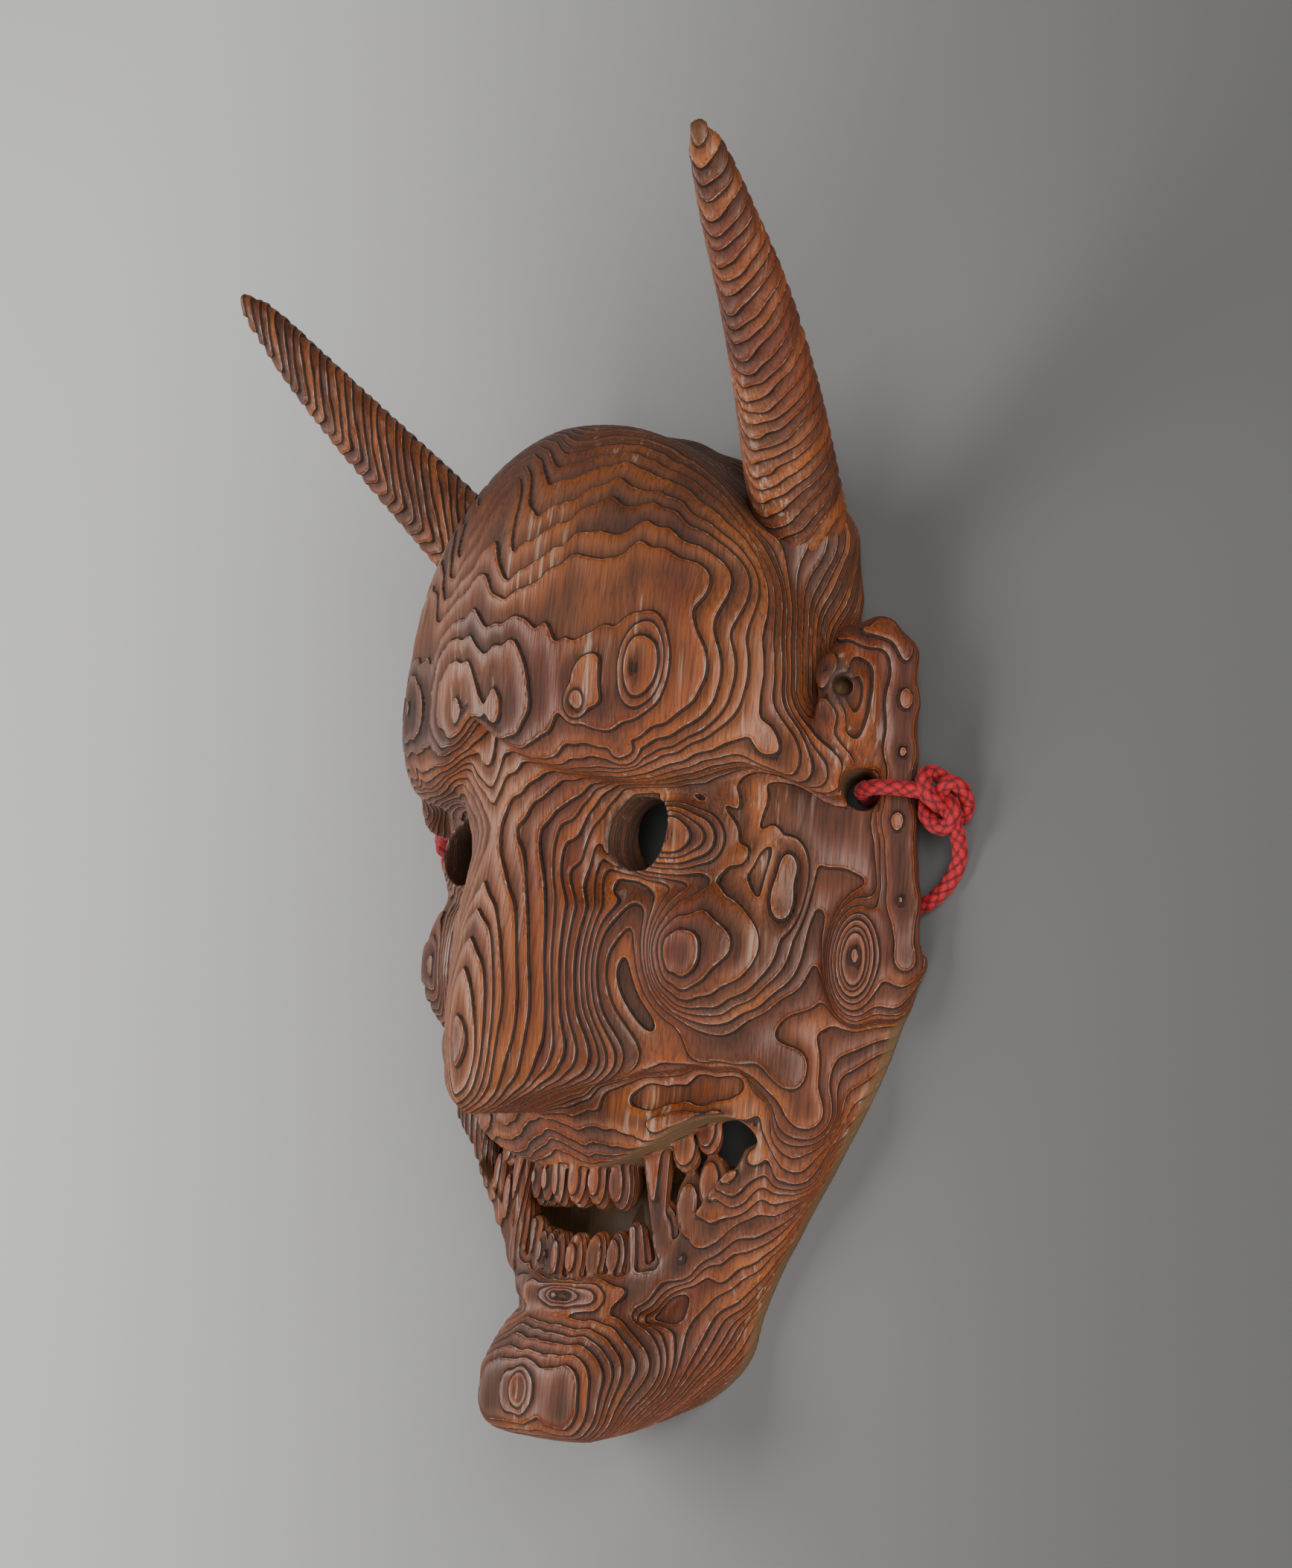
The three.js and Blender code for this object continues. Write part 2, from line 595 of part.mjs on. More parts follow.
function hornCurve(side) {
  const course = HORN_COURSE.map((step) => new THREE.Vector3(...step));
  let length = 0;
  for (let i = 1; i < course.length; i++) length += course[i].distanceTo(course[i - 1]);
  const foot = new THREE.Vector3(...HORN_FOOT).multiplyScalar(UNIT);
  const points = course.map((step) => step.clone().multiplyScalar(HORN_LENGTH / length).add(foot));
  points.unshift(foot.clone().addScaledVector(course[1].clone().normalize(), -SEAT_DEPTH));
  for (const p of points) p.x *= side;
  return new THREE.CatmullRomCurve3(points, false, "centripetal");
}

// A horn tapers evenly for most of its length and is drawn in to a blunt point
function hornRadius(t) {
  const foot = HORN_FOOT_DIAMETER / 2;
  const tip = HORN_TIP_DIAMETER / 2;
  return tip + (foot - tip) * (1 - t ** 1.3) ** 0.62;
}

const hornGeometry = (side, grow) => rings(hornCurve(side), hornRadius, HORN_SIDES, HORN_RINGS, grow);

function maskGeometry() {
  const low = [-88 * UNIT, -136 * UNIT, -CARVING_CELL];
  const high = [88, 104, 76].map((v) => v * UNIT);
  const fine = surface(maskShape, low, high, CARVING_CELL);
  const carved = fewerFaces(fine, MASK_FACES);
  // The rim that it lies on is flat
  for (const p of carved.points) if (p[2] < RIM_FLATNESS) p[2] = 0;
  let mask = solidOf(geometryOf(carved));
  for (const side of [-1, 1]) mask = mask.subtract(solidOf(hornGeometry(side, FIT)));
  return geometryOfSolid(mask.simplify(SHORTEST_EDGE));
}

// The cord: one strand from knot to knot, which lies slack behind the face, and a loop at each ear
const CORD_HEIGHT = CORD_DIAMETER / 2 + 0.1; // of the strand's middle where it lies
const KNOT_PLACE = [85.3, 9.2, 6.8];
const STRAND = [
  [86.9, 2.0, 3.4], [86.6, -1.4, 2.2], [85, -5.4], [81.4, -9.2], [76, -11.8], [69, -12.6], [61, -11], [53, -6],
  [46, 2], [40, 12], [31, 20], [19, 22], [8, 17], [1, 8], [-5, -4], [-13, -15], [-25, -21], [-38, -22],
  [-50, -18.6], [-60, -14.4], [-69, -12.6], [-76, -11.8], [-81.4, -9.2], [-85, -5.4], [-86.6, -1.4, 2.2],
  [-86.9, 2.0, 3.4],
];
const LOOP = [
  [80.9, 10.8, 13.5], [78.6, 11, 15.4], [75.6, 11, 16.7], [72.2, 11, 16.5], [69.4, 11, 14.8],
  [66.2, 11, 11.1], [63, 11, 7.4], [62.2, 11, 4.9], [63.5, 10.8, 2.7], [65.9, 10.6, 2.1], [70, 10.3, 2],
  [75, 10, 2], [79.4, 9.8, 2.1],
];

// A cord's section is swept along its course with flat ends
function cordGeometry(points, steps) {
  const section = new THREE.Shape();
  for (let k = 0; k < CORD_SIDES; k++) {
    const turn = (2 * Math.PI * (k + 0.5)) / CORD_SIDES;
    const corner = [Math.cos(turn), Math.sin(turn)].map((v) => (v * CORD_DIAMETER) / 2);
    if (k === 0) section.moveTo(...corner);
    else section.lineTo(...corner);
  }
  section.closePath();
  const at = ([x, y, z = CORD_HEIGHT / UNIT]) => new THREE.Vector3(x, y, z).multiplyScalar(UNIT);
  const course = points.map(at);
  const extrudePath = new THREE.CatmullRomCurve3(course, false, "centripetal");
  return new THREE.ExtrudeGeometry(section, { steps, bevelEnabled: false, extrudePath });
}

// A tied knot: a round core with the cord wound about it
function knotShape(x, y, z) {
  const r = KNOT_DIAMETER / 2;
  const wound = CORD_DIAMETER / 2;
  let d = ellipsoid(x, y, z, [0, 0, 0], [r * 0.78, r * 0.98, r * 0.86]);
  d = join(d, bar(x, y, z, [-0.5 * r, 0.45 * r, 0.3 * r], [0.45 * r, 0.5 * r, -0.2 * r], wound, wound), 1);
  d = join(d, bar(x, y, z, [-0.4 * r, -0.1 * r, 0.62 * r], [0.6 * r, -0.1 * r, 0.3 * r], wound, wound), 1);
  return join(d, bar(x, y, z, [0.1 * r, -0.62 * r, 0.1 * r], [0.5 * r, -0.3 * r, -0.4 * r], wound, wound), 1);
}

function knotGeometry(side) {
  const reach = KNOT_DIAMETER * 0.75;
  const shape = (x, y, z) => knotShape(x * side, y, z);
  const knot = fewerFaces(surface(shape, [-reach, -reach, -reach], [reach, reach, reach], 1), KNOT_FACES);
  const place = KNOT_PLACE.map((v) => v * UNIT);
  return geometryOf(knot).translate(place[0] * side, place[1], place[2]);
}

// Materials
const cedar = new THREE.MeshStandardMaterial({ name: "cedar", color: 0x6a341c, roughness: 0.42 });
const cordRed = new THREE.MeshStandardMaterial({ name: "cord_red", color: 0x9a1020, roughness: 0.8 });

function piece(name, geometry, material) {
  const mesh = new THREE.Mesh(geometry, material);
  mesh.name = name;
  return mesh;
}

const carving = new THREE.Group();
carving.add(piece("mask", maskGeometry(), cedar));
const hanging = new THREE.Group();
hanging.add(piece("cord", cordGeometry(STRAND, 76), cordRed));
for (const [name, side] of [["left", -1], ["right", 1]]) {
  carving.add(piece("horn_" + name, hornGeometry(side), cedar));
  const loop = LOOP.map(([x, y, z]) => [x * side, y, z]);
  hanging.add(piece("cord_loop_" + name, cordGeometry(loop, 22), cordRed));
  hanging.add(piece("cord_knot_" + name, knotGeometry(side), cordRed));
}

// The origin is on the resting plane, under the middle of the carved wood
const part = new THREE.Group();
part.add(carving, hanging);
const middle = new THREE.Box3().setFromObject(carving, true).getCenter(new THREE.Vector3());
part.position.y = -middle.y;

export default part;
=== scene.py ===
"""A hannya mask carved from cedar, brushed so that its growth rings stand out, on its back with its red cord."""

import math
import bpy
import numpy as np
from bpy.props import FloatProperty, FloatVectorProperty, PointerProperty
from mathutils import Matrix, Vector


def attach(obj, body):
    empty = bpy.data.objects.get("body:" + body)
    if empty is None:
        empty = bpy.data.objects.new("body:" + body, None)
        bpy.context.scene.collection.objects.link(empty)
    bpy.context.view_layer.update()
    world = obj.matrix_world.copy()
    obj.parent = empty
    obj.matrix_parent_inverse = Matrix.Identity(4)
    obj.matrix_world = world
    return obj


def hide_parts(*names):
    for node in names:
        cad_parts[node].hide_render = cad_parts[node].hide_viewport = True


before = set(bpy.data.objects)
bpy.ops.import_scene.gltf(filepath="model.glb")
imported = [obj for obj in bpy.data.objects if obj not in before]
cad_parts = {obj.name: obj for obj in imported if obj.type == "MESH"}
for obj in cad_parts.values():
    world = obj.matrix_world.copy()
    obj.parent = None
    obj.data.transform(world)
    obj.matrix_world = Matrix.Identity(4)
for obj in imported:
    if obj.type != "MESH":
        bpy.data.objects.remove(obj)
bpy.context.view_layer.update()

bl_info = {
    "name": "Carved Cedar Mask",
    "version": (1, 0, 0),
    "blender": (4, 5, 0),
    "location": "View3D > Sidebar > Mask",
    "description": "A horned mask of brushed cedar with a braided cord",
    "category": "Add Mesh",
}

MM = 0.001
f32 = np.float32


# Shapes as distances in millimetres: negative inside, positive outside


def join(a, b, k):
    """Two shapes joined, with a fillet about k wide."""
    h = np.maximum(k - np.abs(a - b), 0) / k
    return np.minimum(a, b) - h * h * (k / 4)


def common(a, b, k):
    """What two shapes have in common, with the edge rounded."""
    h = np.maximum(k - np.abs(a - b), 0) / k
    return np.maximum(a, b) + h * h * (k / 4)


def carve(shape, tool, k):
    """The shape with the tool cut out of it, and the edge of the cut rounded."""
    return common(shape, -tool, k)


def ellipsoid(x, y, z, centre, radii):
    """Nearly the distance from an ellipsoid."""
    px, py, pz = (x - centre[0]) / radii[0], (y - centre[1]) / radii[1], (z - centre[2]) / radii[2]
    near = np.sqrt(px * px + py * py + pz * pz)
    px, py, pz = px / radii[0], py / radii[1], pz / radii[2]
    return near * (near - 1) / (np.sqrt(px * px + py * py + pz * pz) + 1e-6)


def bar(x, y, z, a, b, ra, rb):
    """A round bar from a to b whose radius goes from ra to rb."""
    bx, by, bz = b[0] - a[0], b[1] - a[1], b[2] - a[2]
    along = ((x - a[0]) * bx + (y - a[1]) * by + (z - a[2]) * bz) / (bx * bx + by * by + bz * bz)
    t = np.clip(along, 0, 1)
    dx, dy, dz = x - a[0] - bx * t, y - a[1] - by * t, z - a[2] - bz * t
    return np.sqrt(dx * dx + dy * dy + dz * dz) - ra - (rb - ra) * t


def ridge(x, y, z, points, k):
    """Bars through points given as (x, y, z, radius), for lids, lips, folds and rims."""
    d = None
    for a, b in zip(points, points[1:]):
        e = bar(x, y, z, a, b, a[3], b[3])
        d = e if d is None else join(d, e, k)
    return d


def stations(points):
    """A smooth curve of one value through stations (place, value) in rising order of place."""
    place, value = np.array(points, float).T
    before = np.maximum(np.arange(len(place)) - 1, 0)
    after = np.minimum(np.arange(len(place)) + 1, len(place) - 1)
    slope = (value[after] - value[before]) / (place[after] - place[before])
    fine = np.linspace(place[0], place[-1], 600)
    i = np.clip(np.searchsorted(place, fine, side="right") - 1, 0, len(place) - 2)
    h = place[i + 1] - place[i]
    s = (fine - place[i]) / h
    cubic = value[i] * (1 + s * s * (2 * s - 3)) + value[i + 1] * s * s * (3 - 2 * s)
    cubic += h * s * (1 - s) * (slope[i] * (1 - s) - slope[i + 1] * s)
    return lambda q: np.interp(q, fine, cubic).astype(f32)


# The carving, in millimetres for a face 225 high

FACE_WIDTH = stations([
    (-136, 12), (-128, 18), (-118, 26), (-108, 33), (-98, 36), (-85, 42.5), (-76, 48.5),
    (-68, 54), (-54, 63), (-45, 68), (-38, 71), (-30, 74), (-15, 76), (10, 76), (40, 66),
])
FACE_DEPTH = stations([
    (-136, 25), (-118, 27), (-105, 26), (-98, 24.5), (-85, 23.5), (-76, 26),
    (-66, 32), (-56, 38), (-45, 43), (-30, 46), (-14, 49.5), (0, 53), (10, 56), (40, 60),
])
FACE_SQUARENESS = stations([
    (-136, 2.2), (-105, 2.4), (-85, 3), (-76, 3), (-66, 2.6), (-58, 2), (-50, 1.65),
    (-40, 1.5), (10, 1.5), (40, 1.8),
])
NOSE_RIDGE = stations([
    (-62, 64.5), (-50, 66), (-38, 66.8), (-25, 65.3), (-13, 63), (0, 61), (7, 62), (14, 64), (25, 66),
])
NOSE_FLANK = stations([
    (-62, 0.84), (-44, 0.82), (-30, 0.76), (-15, 0.64), (4, 0.6), (14, 0.52), (25, 0.5),
])
BROW_EDGE = stations([
    (-5, 23), (0, 23), (10, 16.5), (20, 12), (34, 10), (46, 11.5), (54, 13.5), (60, 12.5), (68, 8), (90, 0),
])
UPPER_LIP_EDGE = stations([(0, -70.5), (14, -69), (27, -65), (36, -60), (43, -58), (47, -60), (52, -66)])
LOWER_LIP_EDGE = stations([(0, -94), (14, -93), (22, -89.5), (30, -82), (38, -74), (46, -67), (52, -66)])
FACE_TOP = 36
WALL = 9
JAW_FLOOR = 9
RIM_LIFT = 4.8
HAIR = [(7, 87, 32, 6.5), (18, 84, 26.5, 7), (28, 79.5, 22, 7), (36, 74, 17, 6.5)]
HORN_COLLAR = [(47, 57, 12, 10.5), (49.5, 65.5, 17.5, 11.7)]
LOWER_LID = [
    (17, 4, 48, 2.6), (17.5, -6, 46, 2.6), (20, -14.5, 43.4, 2.6), (28, -15, 39, 2.6),
    (36, -12.5, 35.2, 2.6), (44, -9.5, 32, 2.4), (51, -4.5, 29.6, 2), (56, 1, 26.4, 1.4),
]
CHEEK_FOLD = [
    (22, -42, 37, 4.5), (30, -44, 31, 5.5), (38, -44.5, 25, 6), (47, -43.5, 19.5, 6),
    (54, -47, 15, 6), (56.5, -56, 11.5, 5.5), (51.5, -67, 8.5, 4.6), (42, -80, 6, 3.6), (34, -94, 6, 2.6),
]
MOUTH_GROOVE = [
    (20, -56, 38, 3.5), (30, -54.5, 33, 3.8), (40, -52.5, 28, 4), (46, -52.5, 24, 4), (49, -57, 21, 3.6),
    (49, -67, 19, 3.2), (47.5, -76, 17.5, 3), (42, -85, 17.5, 2.8), (34, -92.5, 18.5, 2.8),
    (26, -98.5, 20, 2.8), (16, -104.5, 23, 3), (0, -107, 27, 3),
]
UPPER_LIP = [
    (0, -65, 22.5, 7.5), (14, -64, 20.5, 7.2), (27, -60.5, 18, 6.5), (35, -57, 16.5, 6), (42, -55.5, 15, 5.5),
    (46, -60, 13, 4.5),
]
LOWER_LIP = [
    (0, -98, 25.5, 4.6), (10, -97.5, 24, 4.6), (20, -95, 19.5, 4), (28, -88.5, 17, 3.8), (35, -81, 15.5, 3.6),
    (42, -73, 15, 3.4), (46, -66, 15, 3.2),
]
SIDE_TEETH = [
    (30.3, -64.5, 20.5, 5.5), (35.8, -61, 19, 5), (24.8, -82.5, 19.5, 7), (30.6, -76.5, 18.5, 7.5),
    (36.2, -71.5, 17.5, 6.5),
]
EAR_RIM = [
    (69.5, 17, 23, 2.5), (70, 25, 25, 3.4), (69.5, 34, 24.5, 4), (70, 41, 20, 4.2), (71.5, 43.5, 14.5, 4.2),
    (74, 40, 11.5, 4), (74.8, 30, 11, 4), (75, 19, 10.5, 4), (75, 5, 9.5, 4), (75.3, -12, 7, 4.4),
    (75.3, -24, 5.5, 4.8), (72.5, -31.5, 5.5, 4.6),
]
EYE_PLACE = (31.3, 0)
EYE_HOLE_DIAMETER = 16
EAR_HOLE_DIAMETER = 7.7
EAR_HOLE_FRONT = (76, 11, 22.3)
EAR_HOLE_BACK = (59, 11, 2.9)
EAR_POCKET_CUT = ((77, 30.6, 29.5), (69.5, 31.5, 22.5), 2.4, 1.6)


def cranium(x, y, z):
    """The head above the brows: a pointed arch in front, rounder behind."""
    up = np.clip((y - 28) / 66, 0, 1)
    middle = 33 + 9 * up
    front = z > middle
    depth = np.where(front, 35 - 5.4 * up, 61 + 9 * up)
    n = np.where(front, f32(1.6), f32(2.05))
    height = np.where(y > 28, f32(66.5), f32(32))
    ring = ((x / 62) ** n + (np.abs(z - middle) / depth) ** n) ** (1 / n)
    f = (ring ** 2.05 + (np.abs(y - 28) / height) ** 2.05) ** (1 / 2.05)
    reach = np.where(f > 0.05, np.sqrt(x * x + (y - 28) ** 2 + (z - middle) ** 2) / np.maximum(f, 0.05), 50)
    return (f - 1) * reach * 0.85


def face(x, y, z, top):
    """The face from the chin up to its top, which is under the brows."""
    n, width, depth = FACE_SQUARENESS(y), FACE_WIDTH(y), FACE_DEPTH(y)
    f = ((x / width) ** n + (np.abs(z) / depth) ** n) ** (1 / n)
    reach = np.where(f > 0.05, np.sqrt(x * x + z * z) / np.maximum(f, 0.05), depth)
    return common((f - 1) * reach * 0.85, y - top, 20)


def nose(x, y, z):
    """The nose: a rounded ridge that is cut off below, with the wings of the nostrils."""
    flank, crest = NOSE_FLANK(y), NOSE_RIDGE(y)
    side = (z - crest + flank * x) / np.sqrt(1 + flank * flank)
    rounded = common(side, z - crest + 3, 7)
    base = (0.33 * x - 61.5 - y + 0.12 * (58 - z)) * 0.93
    wedge = common(common(rounded, base, 5), np.maximum(y - 32, x - 34), 6)
    return join(wedge, ellipsoid(x, y, z, (18.5, -45, 36), (11.5, 9.5, 13.5)), 4)


def eye_area(x, y, z):
    """The socket's hollow and the eyeball, which slope back towards the temple."""
    slope = z + 0.45 * (x - 36)
    outer = ellipsoid(x, y, slope, (37, -1, 47), (20.5, 13.5, 11))
    inner = ellipsoid(x, y, slope, (25, -6, 47), (9.5, 10, 10))
    return join(outer, inner, 3), ellipsoid(x, y, slope, (36, -1, 26), (19.5, 13.5, 18))


def chin(x, y, z):
    """The chin's square block and the swelling above it."""
    f = ((x / 21) ** 4 + ((y + 120) / 10.5) ** 4 + ((z - 22) / 15) ** 4) ** 0.25
    return join((f - 1) * 10, ellipsoid(x, y, z, (0, -111, 20), (27, 13, 14)), 5)


def mouth(x, y, z):
    """The opening between the lips, down to the wood that closes the jaw."""
    band = np.maximum(y - UPPER_LIP_EDGE(x), LOWER_LIP_EDGE(x) - y)
    return common(common(band, x - 47.5, 3), JAW_FLOOR - z, 3)


def teeth(x, y, z):
    """Half of the teeth: front teeth above and below, a fang above, a shorter one below, and side teeth."""
    d = bar(x, y, z, (23, -66, 22.5), (24.5, -81.5, 22), 3.6, 1.8)
    d = np.minimum(d, bar(x, y, z, (17.5, -90, 19.5), (17.2, -82.5, 21.5), 3.9, 2.2))
    for i in range(3):
        d = np.minimum(d, ellipsoid(x, y, z, (2.9 + 5.4 * i, -72.5, 26 - 1.4 * i), (2.75, 6.2, 4.5)))
        d = np.minimum(d, ellipsoid(x, y, z, (2.6 + 4.9 * i, -89.5 + 0.5 * i, 25 - 1.8 * i), (2.5, 6, 4.2)))
    for px, py, pz, tall in SIDE_TEETH:
        d = np.minimum(d, ellipsoid(x, y, z, (px, py, pz), (3.3, tall, 3.6)))
    return d


def ear(x, y, z):
    """An ear: its rim, its bowl and its lobe."""
    bowl = ellipsoid(x, y, z, (69, 28, 14.5), (7, 15, 9.5))
    lobe = ellipsoid(x, y, z, (68.5, -24, 11), (6.5, 14, 8))
    return join(join(ridge(x, y, z, EAR_RIM, 2), bowl, 3), lobe, 3)


def outside(x, y, z):
    """The mask's outside, without its holes."""
    brows = join(
        ellipsoid(x, y, z, (26, 30, 43), (20, 21, 17.5)),
        bar(x, y, z, (42, 22, 33), (62, 15.5, 21), 14, 10.5), 8)
    head = join(cranium(x, y, z), brows, 4)
    head = join(head, ridge(x, y, z, HAIR, 4), 4)
    head = join(head, ridge(x, y, z, HORN_COLLAR, 4), 8)
    head = common(head, (BROW_EDGE(x) - y) * 0.9, 3)
    front = join(face(x, y, z, FACE_TOP), ellipsoid(x, y, z, (38.5, -24.5, 23), (20, 18, 18.5)), 9)
    front = join(front, ridge(x, y, z, CHEEK_FOLD, 3), 5)
    front = join(front, nose(x, y, z), 3)
    socket, eyeball = eye_area(x, y, z)
    front = join(carve(front, socket, 2.5), eyeball, 1.5)
    front = join(front, ridge(x, y, z, LOWER_LID, 2), 2)
    front = carve(front, ridge(x, y, z, MOUTH_GROOVE, 2), 3)
    front = join(front, chin(x, y, z), 6)
    d = join(head, front, 3)
    d = join(d, ridge(x, y, z, UPPER_LIP, 5), 3)
    d = carve(d, mouth(x, y, z), 2)
    d = join(d, ridge(x, y, z, LOWER_LIP, 3), 2)
    d = join(d, teeth(x, y, z), 1)
    d = join(d, ear(x, y, z), 3)
    underside = -131 + np.maximum(27 - z, 0) * 0.42 + np.maximum(x - 14, 0) * 0.3
    return common(d, (underside - y) * 0.9, 9)


def hollow(x, y, z):
    """The hollow behind the face, which follows it at the wall's thickness and ends above the jaw."""
    head = common(cranium(x, y, z), (BROW_EDGE(x) - y) * 0.9, 6)
    inner = join(head, face(x, y, z, FACE_TOP + WALL), 6) + WALL
    above_jaw = common(inner, -67 - y, 6)
    return common(above_jaw, WALL / 2 - ridge(x, y, z, HORN_COLLAR, 4), 5)


def bores(x, y, z):
    """The hole in the eye and the slanting one at the ear for the cord."""
    eye = np.sqrt((x - EYE_PLACE[0]) ** 2 + (y - EYE_PLACE[1]) ** 2) - EYE_HOLE_DIAMETER / 2
    radius = EAR_HOLE_DIAMETER / 2
    return np.minimum(eye, bar(x, y, z, EAR_HOLE_FRONT, EAR_HOLE_BACK, radius, radius))


def rim_lift(x, y, z):
    """The space under the rim at the ears."""
    flange = np.maximum(np.maximum(70 - x, z - RIM_LIFT + np.maximum(5 - y, 0) * 0.03), np.abs(y - 12) - 34)
    rim = np.maximum(np.maximum(52 - x, z - RIM_LIFT), np.abs(y - 6) - 26)
    return np.minimum(flange, rim)


def mask_shape(x, y, z):
    """The whole mask, both halves alike, with its flat back at z = 0."""
    x = np.abs(x)
    d = carve(outside(x, y, z), hollow(x, y, z), 2)
    d = carve(d, bores(x, y, z), 0.8)
    d = carve(d, rim_lift(x, y, z), 1)
    d = carve(d, bar(x, y, z, *EAR_POCKET_CUT), 1)
    return np.maximum(d, -z)


# A surface from a shape

# The box that the carving lies in
LOW = (-88.0, -136.0, -3.0)
HIGH = (88.0, 104.0, 76.0)
# Cells along a block that is first tested as one, and points that are worked on at once
BLOCK = 6
CHUNK = 300000


def in_chunks(shape, x, y, z):
    """The shape's distances, a share of the points at a time."""
    return np.concatenate([
        shape(x[i:i + CHUNK], y[i:i + CHUNK], z[i:i + CHUNK]).astype(f32) for i in range(0, len(x), CHUNK)
    ])


def sampled(shape, low, high, cell):
    """The distances on a grid, found point by point only near the surface."""
    count = [int(math.ceil((h - l) / cell)) + 1 for l, h in zip(low, high)]
    axes = [(l + cell * np.arange(n)).astype(f32) for l, n in zip(low, count)]
    blocks = [-(-n // BLOCK) for n in count]
    middles = [l + cell * (BLOCK * (np.arange(n) + 0.5) - 0.5) for l, n in zip(low, blocks)]
    grid = np.meshgrid(*middles, indexing="ij")
    far = in_chunks(shape, *[g.ravel().astype(f32) for g in grid]).reshape(blocks)
    near = np.abs(far) < 1.5 * BLOCK * cell
    values = far
    for axis in range(3):
        values = np.repeat(values, BLOCK, axis)
        near = np.repeat(near, BLOCK, axis)
    trim = tuple(slice(0, n) for n in count)
    values = np.ascontiguousarray(values[trim])
    i, j, k = np.nonzero(near[trim])
    values[i, j, k] = in_chunks(shape, axes[0][i], axes[1][j], axes[2][k])
    return values


def surface(values, base, low, cell):
    """Where the distance is zero: points, their places on the base surface, its normals, and quads."""
    inside = values < 0
    corners = [(c & 1, c >> 1 & 1, c >> 2 & 1) for c in range(8)]
    size = [n - 1 for n in values.shape]
    total = np.zeros(size, np.uint8)
    for i, j, k in corners:
        total += inside[i:i + size[0], j:j + size[1], k:k + size[2]]
    active = (total > 0) & (total < 8)
    cells = np.argwhere(active)
    number = np.full(size, -1, np.int32)
    number[active] = np.arange(len(cells))
    v = [values[cells[:, 0] + i, cells[:, 1] + j, cells[:, 2] + k] for i, j, k in corners]
    point = np.zeros((len(cells), 3), f32)
    crossings = np.zeros((len(cells), 1), f32)
    for a in range(8):
        for axis in range(3):
            b = a | 1 << axis
            if b == a:
                continue
            hit = (v[a] < 0) != (v[b] < 0)
            t = np.where(hit, v[a] / np.where(hit, v[a] - v[b], 1), 0)
            where = np.tile(np.array(corners[a], f32), (len(cells), 1))
            where[:, axis] = t
            point += where * hit[:, None]
            crossings += hit[:, None]
    point /= crossings
    v = [base[cells[:, 0] + i, cells[:, 1] + j, cells[:, 2] + k] for i, j, k in corners]
    depth = 0
    for c, corner in enumerate(corners):
        share = 1
        for axis in range(3):
            share = share * (point[:, axis] if corner[axis] else 1 - point[:, axis])
        depth = depth + share * v[c]
    slope = np.stack([
        sum(v[c] if corners[c][axis] else -v[c] for c in range(8)) / (4 * cell) for axis in range(3)
    ], 1)
    steep = np.linalg.norm(slope, axis=1, keepdims=True) + 1e-6
    normal = slope / steep
    point = np.array(low, f32) + cell * (cells + point)
    skin = point - normal * np.clip(depth[:, None] / steep, -2, 2)
    faces = []
    for axis in range(3):
        u, w = (axis + 1) % 3, (axis + 2) % 3
        first, second = [slice(1, -1)] * 3, [slice(1, -1)] * 3
        first[axis], second[axis] = slice(0, -1), slice(1, None)
        a, b = inside[tuple(first)], inside[tuple(second)]
        for leaving in (True, False):
            at = np.argwhere((a & ~b) if leaving else (b & ~a))
            at[:, u] += 1
            at[:, w] += 1
            quad = []
            for du, dw in ((-1, -1), (0, -1), (0, 0), (-1, 0)):
                cell_at = at.copy()
                cell_at[:, u] += du
                cell_at[:, w] += dw
                quad.append(number[cell_at[:, 0], cell_at[:, 1], cell_at[:, 2]])
            faces.append(np.stack(quad if leaving else quad[::-1], 1))
    return point, skin, normal, np.concatenate(faces)


# Growth rings: the trunk's heart runs behind the face, from chin to crown

